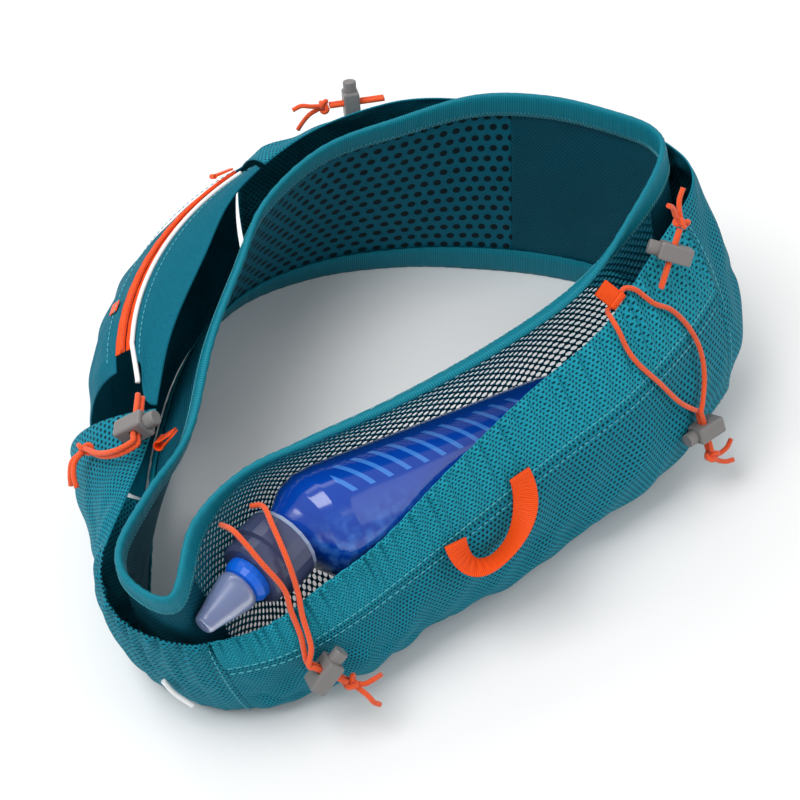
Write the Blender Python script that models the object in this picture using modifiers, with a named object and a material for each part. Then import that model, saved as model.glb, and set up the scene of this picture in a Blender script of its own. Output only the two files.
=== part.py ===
"""Running waist belt: a pull-on stretch loop with open pockets, a zip pocket, bungee cords and a soft flask.

The belt stands on its bottom band on the plane z = 0. The back of the belt, with the flask, runs along X at
negative Y, the front with the zip pocket is at positive Y, and the narrow folded end is at negative X.
All sizes are in metres.
"""
import math

import bmesh
import bpy
import numpy as np
from mathutils import Matrix, Vector

OBJECT_NAME = "waist_pack"

# Driving dimensions.
GAP = 0.0003             # between pieces that touch
KNIT = 0.0012            # thickness of every knitted or netted panel
BINDING_WALL = 0.0011    # folded elastic on the top edge and the bottom hem
CORD = 0.0028            # bungee cord diameter
WEBBING = 0.0015         # webbing thickness
WEBBING_WIDTH = 0.013
FLASK_RADIUS = 0.0295
FLASK_LENGTH = 0.196     # body only, without neck, cap and valve
FLASK_NECK = Vector((-0.122, -0.067, 0.091))
FLASK_AXIS = Vector((-1.0, 0.06, 0.175)).normalized()
SEAM = 0.004             # of a station: half the gap between neighbouring panels
# Shares of the wall's height where its panels have a row: the third row is the top of the bottom band,
# the third from last is the bottom of the binding.
WALL_ROWS = (0.016, 0.07, 0.14, 0.28, 0.42, 0.56, 0.70, 0.80, 0.90, 0.95, 0.989)
HEM_LINE = 0.72          # share of the back pocket's section where its hem starts
COVER_EDGE = 0.78        # share of the zip pocket's section where its cover meets the zip
BAND_EDGE = 0.84         # and where the band on the other side starts
COVER_OFFSET = 0.0050    # zip's middle to the cover's edge
BAND_OFFSET = 0.0080     # zip's middle to the band's edge, past the piping
TAB_PLAY = 0.0004        # room round the cord in a tab's eye
TAB_LEAF = 0.0009        # the tab's cloth round the eye
TAB_HALF_LEAF = 0.0011   # half the tab's thickness between eye and seam
SHARP_ANGLE = math.radians(35)  # faces that meet at less are shaded as one round surface

# The loop, anticlockwise from above, starting at the narrow end:
# top edge x, y, z, then bottom edge x, y (at z = 0), then how far the wall is pushed inwards half-way up.
STATIONS = np.array([
    [-0.207, -0.060, 0.118, -0.190, -0.052, 0.000],
    [-0.196, -0.079, 0.118, -0.172, -0.080, 0.000],
    [-0.166, -0.052, 0.121, -0.140, -0.094, 0.012],
    [-0.132, -0.045, 0.127, -0.108, -0.098, 0.032],
    [-0.095, -0.052, 0.131, -0.072, -0.099, 0.041],
    [-0.045, -0.061, 0.134, -0.025, -0.099, 0.044],
    [0.015, -0.065, 0.137, 0.025, -0.099, 0.045],
    [0.075, -0.061, 0.141, 0.078, -0.099, 0.041],
    [0.130, -0.039, 0.148, 0.132, -0.094, 0.014],
    [0.170, -0.018, 0.153, 0.177, -0.063, 0.000],
    [0.181, 0.000, 0.155, 0.197, -0.020, 0.000],
    [0.172, 0.027, 0.155, 0.192, 0.025, 0.000],
    [0.153, 0.060, 0.154, 0.170, 0.062, 0.000],
    [0.125, 0.089, 0.150, 0.138, 0.096, 0.000],
    [0.085, 0.109, 0.141, 0.100, 0.128, 0.000],
    [0.040, 0.123, 0.133, 0.050, 0.154, 0.000],
    [-0.009, 0.111, 0.127, -0.005, 0.162, 0.000],
    [-0.048, 0.080, 0.124, -0.058, 0.140, 0.000],
    [-0.090, 0.045, 0.121, -0.105, 0.098, 0.000],
    [-0.134, 0.000, 0.119, -0.145, 0.048, 0.000],
    [-0.170, -0.020, 0.119, -0.172, 0.005, 0.000],
    [-0.200, -0.040, 0.119, -0.190, -0.025, 0.000],
])

# The outer pockets stand off the wall. Each row, one for each station, shapes the section by the last three
# points of a Bezier curve that starts at the bottom edge: share of the height, then distance outwards.
SECTIONS = np.array([
    [0.15, 0.010, 0.60, 0.014, 0.80, 0.012],
    [0.15, 0.012, 0.55, 0.014, 0.72, 0.009],
    [0.12, 0.022, 0.50, 0.034, 0.62, 0.026],
    [0.12, 0.036, 0.50, 0.040, 0.69, 0.038],
    [0.12, 0.040, 0.55, 0.038, 0.72, 0.034],
    [0.12, 0.042, 0.60, 0.038, 0.80, 0.024],
    [0.12, 0.042, 0.65, 0.038, 0.85, 0.014],
    [0.12, 0.040, 0.70, 0.044, 0.90, 0.014],
    [0.13, 0.036, 0.65, 0.046, 0.92, 0.014],
    [0.12, 0.046, 0.60, 0.036, 0.90, 0.016],
    [0.14, 0.036, 0.65, 0.022, 0.90, 0.010],
    [0.20, 0.026, 0.75, 0.026, 0.92, 0.006],
    [0.20, 0.022, 0.80, 0.026, 0.93, 0.005],
    [0.20, 0.018, 0.80, 0.024, 0.94, 0.007],
    [0.20, 0.020, 0.85, 0.034, 0.99, 0.017],
    [0.18, 0.026, 0.85, 0.056, 0.98, 0.019],
    [0.15, 0.034, 0.85, 0.076, 0.985, 0.020],
    [0.15, 0.042, 0.85, 0.092, 0.985, 0.021],
    [0.15, 0.046, 0.85, 0.112, 0.985, 0.022],
    [0.15, 0.040, 0.80, 0.080, 0.97, 0.019],
    [0.15, 0.028, 0.75, 0.040, 0.93, 0.012],
    [0.15, 0.016, 0.65, 0.020, 0.86, 0.011],
])
FOOT_GAP = 0.0030        # outer pocket to wall at the very bottom, outside the band

# The zip lies on a level arc, so its slider turns about an upright axis.
ZIP_CENTRE = np.array([0.028, -0.025])
ZIP_RADIUS = 0.185
ZIP_HEIGHT = 0.110
ZIP_SLOPE = math.radians(30)


def clear_scene():
    for old in list(bpy.data.objects):
        bpy.data.objects.remove(old, do_unlink=True)


def material(name, colour, roughness, metallic=0.0):
    """One Principled material, its colour given as sRGB hex."""
    made = bpy.data.materials.new(name)
    made.use_nodes = True
    channels = [int(colour[i:i + 2], 16) / 255 for i in (0, 2, 4)]
    linear = [c / 12.92 if c <= 0.04045 else ((c + 0.055) / 1.055) ** 2.4 for c in channels]
    shader = made.node_tree.nodes["Principled BSDF"]
    shader.inputs["Base Color"].default_value = (*linear, 1)
    shader.inputs["Roughness"].default_value = roughness
    shader.inputs["Metallic"].default_value = metallic
    made.diffuse_color = (*linear, 1)
    return made


def spline(rows, s):
    """Catmull-Rom curve through the rows, which close on themselves; s counts rows."""
    s = np.asarray(s, float)
    count = len(rows)
    k = np.floor(s).astype(int)
    f = (s - k)[..., None]
    a, b, c, d = (rows[(k + i) % count] for i in (-1, 0, 1, 2))
    return 0.5 * (2 * b + (c - a) * f + (2 * a - 5 * b + 4 * c - d) * f ** 2
                  + (3 * b - a - 3 * c + d) * f ** 3)


def outward(s):
    """Level unit vector that points out of the loop, square to the bottom edge."""
    ahead = spline(STATIONS[:, 3:5], np.asarray(s) + 0.25) - spline(STATIONS[:, 3:5], np.asarray(s) - 0.25)
    ahead = ahead / np.linalg.norm(ahead, axis=-1, keepdims=True)
    return np.stack([ahead[..., 1], -ahead[..., 0], np.zeros_like(ahead[..., 0])], -1)


def straight_wall(s, t):
    """Point at height share t on the straight line from the bottom edge to the top edge."""
    row = spline(STATIONS, s)
    top = row[..., 0:3]
    foot = np.concatenate([row[..., 3:5], np.zeros_like(row[..., :1])], -1)
    return foot + (top - foot) * np.asarray(t, float)[..., None]


def wall(s, t):
    """The inner wall: the straight wall, pushed inwards where the flask leans on it. It stays straight
    inside the binding and the band."""
    t = np.asarray(t, float)
    low, high = WALL_ROWS[1], WALL_ROWS[-2]
    inside = np.clip(t, low, high)
    ends = np.minimum(np.minimum(t / low, (1 - t) / (1 - high)), 1)
    push = spline(STATIONS, s)[..., 5] * 4 * inside * (1 - inside) * ends
    return straight_wall(s, t) - outward(s) * push[..., None]


def zip_angle(s):
    """Direction from the zip's centre to the bottom edge at s."""
    foot = spline(STATIONS, s)[..., 3:5] - ZIP_CENTRE
    return np.arctan2(foot[..., 1], foot[..., 0])


def zip_point(angle, across=0.0, lift=0.0):
    """Point near the zip: across it towards the wearer, and lift off its face."""
    across, lift = np.asarray(across, float), np.asarray(lift, float)
    radius = ZIP_RADIUS - across * math.cos(ZIP_SLOPE) + lift * math.sin(ZIP_SLOPE)
    height = ZIP_HEIGHT + across * math.sin(ZIP_SLOPE) + lift * math.cos(ZIP_SLOPE)
    angle, radius, height = np.broadcast_arrays(angle, radius, height)
    x, y = ZIP_CENTRE[0] + radius * np.cos(angle), ZIP_CENTRE[1] + radius * np.sin(angle)
    return np.stack([x, y, height], -1)


def skin(s, q):
    """The outer pockets: Bezier section from the bottom edge (q = 0) to the mouth (q = 1)."""
    q = np.asarray(q, float)
    row = spline(SECTIONS, s)
    t1, g1, t2, g2, t3, g3 = (row[..., i] for i in range(6))
    b0, b1, b2, b3 = (1 - q) ** 3, 3 * q * (1 - q) ** 2, 3 * q ** 2 * (1 - q), q ** 3
    t = b1 * t1 + b2 * t2 + b3 * t3 + b0 * 0.02
    g = b0 * FOOT_GAP + b1 * g1 + b2 * g2 + b3 * g3
    return straight_wall(s, t) + outward(s) * g[..., None]


def skin_at_zip(s, q):
    """The outer pocket where the zip crosses it, drawn to the zip's arc from both sides."""
    s, q = np.broadcast_arrays(np.asarray(s, float), np.asarray(q, float))
    below = np.clip(q / COVER_EDGE, 0, 1)
    above = np.clip((q - BAND_EDGE) / (1 - BAND_EDGE), 0, 1)
    pull_below = (below ** 2 * (3 - 2 * below))[..., None]
    pull_above = (1 - above ** 2 * (3 - 2 * above))[..., None]
    to_cover = zip_point(zip_angle(s), -COVER_OFFSET) - skin(s, np.full_like(q, COVER_EDGE))
    to_band = zip_point(zip_angle(s), BAND_OFFSET) - skin(s, np.full_like(q, BAND_EDGE))
    return skin(s, q) + np.where((q <= COVER_EDGE)[..., None], pull_below * to_cover, pull_above * to_band)


def add(name, mesh, finish):
    """An object with its mesh and its material, in the belt's collection."""
    made = bpy.data.objects.new(name, mesh)
    parts.objects.link(made)
    mesh.materials.append(finish)
    if isinstance(mesh, bpy.types.Mesh):
        mesh.shade_smooth()
        mesh.set_sharp_from_angle(angle=SHARP_ANGLE)
    return made


def set_origin(made, point):
    """Puts an object's origin on its joint's axis; its shape stays where it is."""
    made.data.transform(Matrix.Translation(-point))
    made.location = point


def grid_faces(rows, columns, close_rows=False, close_columns=False):
    """Quads of a grid numbered row by row."""
    faces = []
    for i in range(rows if close_rows else rows - 1):
        for j in range(columns if close_columns else columns - 1):
            k, m = (i + 1) % rows, (j + 1) % columns
            faces.append((i * columns + j, k * columns + j, k * columns + m, i * columns + m))
    return faces


def split_faces(faces, shares):
    """Each quad as two triangles, cut from its low corner behind to its high corner ahead, so cloth and
    the strips folded over it bend along the same lines. The shares give the height of each column."""
    columns = len(shares)
    split = []
    for a, b, c, d in faces:
        if shares[d % columns] >= shares[a % columns]:
            split += [(a, b, c), (a, c, d)]
        else:
            split += [(a, b, d), (b, c, d)]
    return split


def face_out(mesh):
    """Turn a closed mesh's faces outwards."""
    shape = bmesh.new()
    shape.from_mesh(mesh)
    bmesh.ops.recalc_face_normals(shape, faces=shape.faces)
    shape.to_mesh(mesh)
    shape.free()


def panel(name, surface, ends, rows, finish, thickness=KNIT):
    """A sheet of cloth: a surface over a stretch of the loop, given its thickness."""
    start, end = ends
    steps = np.arange(math.floor(start * 2 + 1.1), math.ceil(end * 2 - 0.1)) / 2
    s = np.concatenate([[start + SEAM], steps, [end - SEAM]])
    points = surface(*np.meshgrid(s, rows, indexing="ij"))
    mesh = bpy.data.meshes.new(name)
    faces = split_faces(grid_faces(len(s), len(rows)), rows)
    mesh.from_pydata(points.reshape(-1, 3).tolist(), [], faces)
    made = add(name, mesh, finish)
    cloth = made.modifiers.new("Thickness", "SOLIDIFY")
    cloth.thickness = thickness
    cloth.offset = 0.0
    return made


def loop_ring(name, section, finish):
    """A closed ring: the section at every half station, all the way round."""
    rings = np.stack([edge_section(s, *section(s)) for s in np.arange(0, len(STATIONS) * 2) / 2])
    mesh = bpy.data.meshes.new(name)
    faces = split_faces(grid_faces(*rings.shape[:2], True, True), section(0.0)[0])
    mesh.from_pydata(rings.reshape(-1, 3).tolist(), [], faces)
    face_out(mesh)
    return add(name, mesh, finish)


def closed_sweep(name, rings):
    """A mesh through rings of points, closed by a cap at each end."""
    rings = np.asarray(rings)
    count, around = rings.shape[:2]
    faces = grid_faces(count, around, False, True)
    faces.append(tuple(range(around)))
    faces.append(tuple(range((count - 1) * around, count * around)))
    mesh = bpy.data.meshes.new(name)
    mesh.from_pydata(rings.reshape(-1, 3).tolist(), [], faces)
    face_out(mesh)
    return mesh


def sweep(name, rings, finish):
    """A bar through rings of points."""
    return add(name, closed_sweep(name, rings), finish)


def wall_normal(s, t):
    """Unit vector square to the inner wall, pointing out of the loop."""
    along = wall(s + 0.05, t) - wall(s - 0.05, t)
    up = wall(s, t + 0.004) - wall(s, t - 0.004)
    normal = np.cross(along, up)
    return normal / np.linalg.norm(normal, axis=-1, keepdims=True)


def edge_section(s, shares, outs):
    """A section that hugs the inner wall, from shares of its height and distances out of it. Points at
    share 0 stay level."""
    shares = np.array(shares, float)
    stations = np.full(len(shares), s)
    normal = wall_normal(stations, shares)
    level = shares == 0
    normal[level, 2] = 0
    normal[level] /= (normal[level] ** 2).sum(axis=-1, keepdims=True)
    return wall(stations, shares) + np.array(outs)[:, None] * normal


def wall_share(s, height):
    """Share of the wall's height that a length along it makes."""
    return height / float(np.linalg.norm(straight_wall(s, 1.0) - straight_wall(s, 0.0)))


def binding_section(s):
    """Shares and distances out of the wall of the folded elastic over its top edge."""
    inner = KNIT / 2 + GAP
    outer = inner + BINDING_WALL
    leg, half = WALL_ROWS[-3], WALL_ROWS[-2]
    shoulder, under = 1 - wall_share(s, 0.0007), 1 - wall_share(s, BINDING_WALL)
    shares = [leg, half, shoulder, 1, shoulder, half, leg, leg, half, under, under, half, leg]
    outs = [outer, outer, 0.8 * outer, 0, -0.8 * outer, -outer, -outer,
            -inner, -inner, -inner, inner, inner, inner]
    return shares, outs


def band_section(s):
    """Shares and distances out of the wall of the hem over its bottom edge, flat underneath."""
    inner = KNIT / 2 + GAP
    outer = inner + BINDING_WALL
    half, leg = WALL_ROWS[1], WALL_ROWS[2]
    over = wall_share(s, BINDING_WALL)
    shares = [leg, half, 0, 0, half, leg, leg, half, over, over, half, leg]
    outs = [outer, outer, outer, -outer, -outer, -outer, -inner, -inner, -inner, inner, inner, inner]
    return shares, outs


def zip_bar(name, section, start, end, finish, steps=22):
    """A bar along the zip's arc; its section is given as distances across and off the face."""
    angles = np.radians(np.linspace(start, end, steps))
    across, lift = np.array(section).T
    return sweep(name, [zip_point(angle, across, lift) for angle in angles], finish)


def oval(width, height, points=6, centre=(0.0, 0.0)):
    """Points round an oval."""
    turn = [2 * math.pi * i / points for i in range(points)]
    return [(centre[0] + width / 2 * math.cos(a), centre[1] + height / 2 * math.sin(a)) for a in turn]


def smooth_route(points, spacing):
    """Points at about the given spacing on a Catmull-Rom curve through the route's own points."""
    points = np.asarray(points, float)
    ends = np.vstack([2 * points[0] - points[1], points, 2 * points[-1] - points[-2]])
    f = np.linspace(0, 1, 24, endpoint=False)[:, None]
    fine = []
    for k in range(1, len(ends) - 2):
        a, b, c, d = ends[k - 1:k + 3]
        fine.append(0.5 * (2 * b + (c - a) * f + (2 * a - 5 * b + 4 * c - d) * f ** 2
                           + (3 * b - a - 3 * c + d) * f ** 3))
    fine = np.vstack(fine + [points[-1:]])
    along = np.concatenate([[0], np.cumsum(np.linalg.norm(np.diff(fine, axis=0), axis=1))])
    at = np.linspace(0, along[-1], max(2, round(along[-1] / spacing)) + 1)
    return np.stack([np.interp(at, along, fine[:, i]) for i in range(3)], -1)


def tube(name, route, diameter, finish):
    """Round cord along a route."""
    curve = bpy.data.curves.new(name, "CURVE")
    curve.dimensions = "3D"
    curve.bevel_depth = diameter / 2
    curve.bevel_resolution = 2
    curve.use_fill_caps = True
    points = smooth_route(route, 2.5 * diameter)
    run = curve.splines.new("POLY")
    run.points.add(len(points) - 1)
    run.points.foreach_set("co", np.column_stack([points, np.ones(len(points))]).ravel())
    return add(name, curve, finish)


def turned(name, profile, place, finish, steps=20):
    """A turned piece about its own Z; the profile runs down its outside, top to bottom. A profile that
    leaves the axis closes into a ring."""
    count = len(profile)
    edges = [(i, i + 1) for i in range(count - 1)]
    if profile[0][0] > 0:
        edges.append((count - 1, 0))
    mesh = bpy.data.meshes.new(name)
    mesh.from_pydata([(r, 0, z) for r, z in profile], edges, [])
    made = add(name, mesh, finish)
    screw = made.modifiers.new("Turn", "SCREW")
    screw.steps = steps
    screw.render_steps = steps
    screw.use_merge_vertices = True
    screw.merge_threshold = 0.00001
    made.matrix_world = place
    return made


def rod(name, points, radius, sides=8):
    """A round bar along the points, as a closed mesh."""
    points = [Vector(p) for p in points]
    rings = []
    for i, point in enumerate(points):
        ahead = (points[min(i + 1, len(points) - 1)] - points[max(i - 1, 0)]).normalized()
        side = ahead.cross(Vector((0.3, 0.2, 0.93))).normalized()
        up = side.cross(ahead)
        turn = [2 * math.pi * k / sides for k in range(sides)]
        rings.append([list(point + radius * (math.cos(a) * side + math.sin(a) * up)) for a in turn])
    return closed_sweep(name, rings)


def combine(name, mesh, others, operation="DIFFERENCE"):
    """The mesh with each of the other meshes cut out of it, or joined to it."""
    blank = bpy.data.objects.new(name + "_blank", mesh)
    cutters.objects.link(blank)
    for i, other in enumerate(others):
        tool = bpy.data.objects.new(f"{name}_cutter_{i}", other)
        cutters.objects.link(tool)
        change = blank.modifiers.new("Combine", "BOOLEAN")
        change.operation = operation
        change.object = tool
        tool.hide_render = True
        tool.display_type = "WIRE"
    bpy.context.view_layer.update()
    result = bpy.data.meshes.new_from_object(blank.evaluated_get(bpy.context.evaluated_depsgraph_get()))
    result.name = name
    blank.hide_render = True
    blank.display_type = "WIRE"
    return result


def placement(origin, x_axis, y_axis, z_axis):
    """A place from its origin and its three axes."""
    return Matrix.Translation(origin) @ Matrix((x_axis, y_axis, z_axis)).transposed().to_4x4()


def slider_ring(angle, scale):
    """Section of the slider: a plate over the coil with a side wall down each edge."""
    section = [(-0.0036, 0.0010), (-0.0036, 0.0042), (0.0036, 0.0042), (0.0036, 0.0010),
               (0.0024, 0.0010), (0.0024, 0.0031), (-0.0024, 0.0031), (-0.0024, 0.0010)]
    across, lift = np.array(section).T
    return zip_point(angle, across * scale, lift)


def flat_plate(name, outline, hole, thickness, place, finish):
    """A flat outline with a round hole, in the place's X and Y, half its thickness to each side."""
    curve = bpy.data.curves.new(name, "CURVE")
    curve.dimensions = "2D"
    curve.fill_mode = "BOTH"
    curve.extrude = thickness / 2
    for points in (outline, hole):
        run = curve.splines.new("POLY")
        run.use_cyclic_u = True
        run.points.add(len(points) - 1)
        for point, (x, y) in zip(run.points, points):
            point.co = (x, y, 0, 1)
    made = add(name, curve, finish)
    made.matrix_world = place
    return made


def keyhole(name, place, length, width, eye, skin_out, half_leaf, finish):
    """A leaf bent round an eye: the place is at the eye, X runs from the root to it, Z is its axis."""
    fold = eye + skin_out
    root = fold - length
    start = math.radians(150)
    turn = [start - 2 * start * i / 12 for i in range(13)]
    outline = [(root, half_leaf)] + [(fold * math.cos(a), fold * math.sin(a)) for a in turn]
    outline.append((root, -half_leaf))
    around = [2 * math.pi * i / 12 for i in range(12)]
    hole = [(eye * math.cos(a), -eye * math.sin(a)) for a in around]
    flat_plate(name, outline, hole, width, place, finish)


def flask_ring(along, radius, tilt, points=20):
    """A circle of the flask's body, square to an axis between the body's (0) and the cap's (1)."""
    axis = FLASK_AXIS.lerp(FLASK_CAP_AXIS, tilt).normalized()
    centre = FLASK_NECK + (FLASK_AXIS if along <= 0 else FLASK_CAP_AXIS) * along
    side = axis.cross(Vector((0, 0, 1))).normalized()
    up = side.cross(axis)
    turn = [2 * math.pi * i / points for i in range(points)]
    return [list(centre + radius * (math.cos(a) * side + math.sin(a) * up)) for a in turn]


def box(name, low, high, bevel=0.0):
    """A box between two corners, its edges rounded."""
    shape = bmesh.new()
    bmesh.ops.create_cube(shape, size=1.0)
    low, high = Vector(low), Vector(high)
    for corner in shape.verts:
        corner.co = Vector([(low[i] + high[i]) / 2 + corner.co[i] * (high[i] - low[i]) for i in range(3)])
    if bevel:
        bmesh.ops.bevel(shape, geom=shape.edges[:], offset=bevel, segments=2, affect="EDGES", profile=0.5)
    mesh = bpy.data.meshes.new(name)
    shape.to_mesh(mesh)
    shape.free()
    return mesh


def cylinder(name, radius, low, high, sides=16, bevel=0.0):
    """An upright cylinder about Z; only its top edge is rounded."""
    shape = bmesh.new()
    bmesh.ops.create_cone(shape, cap_ends=True, segments=sides, radius1=radius, radius2=radius,
                          depth=high - low, matrix=Matrix.Translation((0, 0, (low + high) / 2)))
    if bevel:
        rim = [edge for edge in shape.edges if all(v.co.z > high - 1e-6 for v in edge.verts)]
        bmesh.ops.bevel(shape, geom=rim, offset=bevel, segments=2, affect="EDGES", profile=0.5)
    mesh = bpy.data.meshes.new(name)
    shape.to_mesh(mesh)
    shape.free()
    return mesh


def spring_route(radius=0.0029, low=-0.0086, high=-0.0054, turns=2.0, steps=7):
    """Points along a spring about Z."""
    count = int(turns * steps)
    turn = [2 * math.pi * turns * i / count for i in range(count + 1)]
    return [(radius * math.cos(a), radius * math.sin(a), low + (high - low) * i / count)
            for i, a in enumerate(turn)]


def lock_place(centre, barrel, cord):
    """Where a lock stands: its middle, its plunger's direction and its cord's."""
    b = Vector(barrel).normalized()
    c = Vector(cord)
    c = (c - b * c.dot(b)).normalized()
    return placement(Vector(centre), c, b.cross(c), b)


def cord_lock(label, place):
    """Body, plunger and spring of a cord lock."""
    add(f"lock_{label}_body", lock_mesh.copy(), lock_grey).matrix_world = place
    add(f"lock_{label}_plunger", plunger_mesh.copy(), lock_grey).matrix_world = place
    wire = bpy.data.curves.new(f"lock_{label}_spring", "CURVE")
    wire.dimensions = "3D"
    wire.bevel_depth = 0.00025
    wire.bevel_resolution = 1
    wire.use_fill_caps = True
    run = wire.splines.new("POLY")
    points = spring_route()
    run.points.add(len(points) - 1)
    for point, co in zip(run.points, points):
        point.co = (*co, 1)
    add(f"lock_{label}_spring", wire, steel).matrix_world = place


def through_lock(place, side):
    """The straight stretch of a strand through its lock."""
    return [place @ Vector((x, side * STRAND, 0)) for x in (-0.0120, -0.0080, 0.0, 0.0060, 0.0100)]


def bungee(label, place, strands, tails, knot=None, slack=()):
    """A cord lock with its doubled cord: two strands run through it, and a knot joins them. The knot has
    the cord's two cut ends on it."""
    knot = place @ Vector((KNOT_AT, 0, 0)) if knot is None else Vector(knot)
    cord_lock(label, place)
    for i, (route, side) in enumerate(strands):
        aside = place.to_3x3() @ Vector((0, side * STRAND, 0))
        run = [Vector(p) for p in route] + through_lock(place, side)
        run += [Vector(p) + aside for p in slack]
        run.append(knot + aside + (run[-1] - knot - aside).normalized() * (KNOT + 0.0008))
        tube(f"bungee_{label}_strand_{i + 1}", run, CORD, cord_orange)
    ball = knot_mesh.copy()
    ball.transform(Matrix.Translation(knot))
    ends = []
    for tail in tails:
        start = knot + (Vector(tail[0]) - knot).normalized() * 0.5 * KNOT
        ends.append(rod(f"cord_{label}_end", smooth_route([start] + list(tail), 0.0035), CORD / 2))
    add(f"bungee_{label}_knot", combine(f"bungee_{label}_knot", ball, ends, "UNION"), cord_orange)


def cord_tab(name, root, along, width_axis, length, width):
    """A webbing tab folded round a cord, from its sewn root; gives its eye's middle and axis."""
    x = Vector(along).normalized()
    z = Vector(width_axis)
    z = (z - x * z.dot(x)).normalized()
    eye, leaf = CORD / 2 + TAB_PLAY, TAB_LEAF
    middle = Vector(root) + x * (length - eye - leaf)
    keyhole(name, placement(middle, x, z.cross(x), z), length, width, eye, leaf, TAB_HALF_LEAF, orange)
    return middle, z


clear_scene()
parts = bpy.data.collections.new(OBJECT_NAME)
cutters = bpy.data.collections.new("cutters")
bpy.context.scene.collection.children.link(parts)
bpy.context.scene.collection.children.link(cutters)

knit = material("stretch_mesh", "1B7F90", 0.75)
dark_knit = material("inner_knit", "05586A", 0.6)
netting = material("open_netting", "08535F", 0.7)
elastic = material("folded_elastic", "1D8795", 0.55)
woven = material("zip_cover_cloth", "15707F", 0.6)
orange = material("orange_webbing", "FF5A14", 0.7)
cord_orange = material("bungee_cord", "FF5E12", 0.7)
zip_orange = material("zip_coil", "FF5A10", 0.45)
piping_white = material("reflective_piping", "F1F2F2", 0.4)
lock_grey = material("lock_plastic", "7A7776", 0.4)
steel = material("spring_steel", "B8BABD", 0.3, 1.0)
flask_blue = material("flask_film", "0B55C0", 0.15)
cap_slate = material("cap_plastic", "3F4766", 0.25)
valve_blue = material("valve_plastic", "0A66E0", 0.3)
bite_clear = material("bite_silicone", "7D93C6", 0.3)
rubber = material("gasket_rubber", "D8DADD", 0.6)

# Inner wall, from the narrow end along the back and round to the front.
for name, start, end, cloth in (
    ("back_net_panel", 1.5, 8.5, netting),
    ("side_knit_panel", 8.5, 12.5, dark_knit),
    ("front_vent_panel", 12.5, 16.5, dark_knit),
    ("left_net_panel", 16.5, 19.5, netting),
    ("end_knit_panel", 19.5, 23.5, dark_knit),
):
    panel(name, wall, (start, end), WALL_ROWS, cloth)

loop_ring("top_binding", binding_section, elastic)
loop_ring("bottom_band", band_section, elastic)

# Outer pockets.
full = np.linspace(0, 1, 9)
panel("flask_pocket_panel", skin, (1.35, 8.35), np.linspace(0, HEM_LINE - 0.001, 6), knit)
panel("flask_pocket_hem", skin, (1.35, 8.35), np.linspace(HEM_LINE + 0.001, 1, 4), knit)
panel("side_pocket_panel", skin, (8.35, 12.6), full, knit)
panel("front_pocket_panel", skin, (12.6, 15.66), full, knit)
panel("zip_pocket_cover", skin_at_zip, (15.73, 18.68), np.linspace(0, COVER_EDGE, 8), woven)
panel("zip_pocket_band", skin_at_zip, (15.73, 18.68), np.linspace(BAND_EDGE, 1, 4), woven)
panel("left_side_panel", skin, (18.72, 20.7), full, knit)
panel("end_pocket_panel", skin, (20.7, 23.35), full, knit)

# Zip pocket: coil between two tapes, slider and puller, and the piping above it.
ZIP_START, ZIP_END = 98.5, 147.5
TAPE = 0.0006
SLIDER_REST = math.radians(103)
tape_section = [(0.0020, 0), (0.0044, 0), (0.0044, TAPE), (0.0020, TAPE)]
zip_bar("zip_tape_inner", tape_section, ZIP_START, ZIP_END, zip_orange)
zip_bar("zip_tape_outer", [(-a, h) for a, h in tape_section], ZIP_START, ZIP_END, zip_orange)
zip_bar("zip_coil", oval(0.0032, 0.0026, centre=(0, 0.0011)), ZIP_START, ZIP_END, zip_orange)
zip_bar("reflective_piping", oval(0.0028, 0.0028, centre=(0.0062, 0.0008)), ZIP_START, ZIP_END, piping_white)

slider_half = math.degrees(0.0048 / ZIP_RADIUS)
slider_steps = [(-1.0, 0.9), (-0.55, 1.0), (0.55, 1.0), (1.0, 0.9)]
slider_rings = [slider_ring(SLIDER_REST + math.radians(step * slider_half), scale)
                for step, scale in slider_steps]

# The slider with its bail, and the puller that hangs on it along the zip.
BAIL_LIFT = 0.0066
bail = [(-0.0026, 0.0036), (-0.0026, BAIL_LIFT), (0.0026, BAIL_LIFT), (0.0026, 0.0036)]
bail_rod = rod("slider_bail", [zip_point(SLIDER_REST, *corner) for corner in bail], 0.0005)
slider_mesh = combine("zip_slider", closed_sweep("slider_plate", slider_rings), [bail_rod], "UNION")
set_origin(add("zip_slider", slider_mesh, zip_orange), Vector((*ZIP_CENTRE, ZIP_HEIGHT)))

PULLER_LENGTH, PULLER_DROOP = 0.0155, math.radians(12)
zip_ahead = Vector((-math.sin(SLIDER_REST), math.cos(SLIDER_REST), 0))
zip_lift = Vector(zip_point(SLIDER_REST, 0, 1) - zip_point(SLIDER_REST, 0, 0))
zip_across = Vector(zip_point(SLIDER_REST, 1, 0) - zip_point(SLIDER_REST, 0, 0))
puller_x = zip_ahead * math.cos(PULLER_DROOP) + zip_lift * math.sin(PULLER_DROOP)
puller_eye = Vector(zip_point(SLIDER_REST, 0, BAIL_LIFT))
keyhole(
    "zip_puller",
    placement(puller_eye, puller_x, zip_across.cross(puller_x), zip_across),
    PULLER_LENGTH, 0.0036, 0.0009, 0.0006, 0.0005, zip_orange,
)

# Soft flask: its film body ends in a neck that bends down towards the pocket's end.
FLASK_CAP_AXIS = Vector((-1.0, -0.28, -0.01)).normalized()

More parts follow.
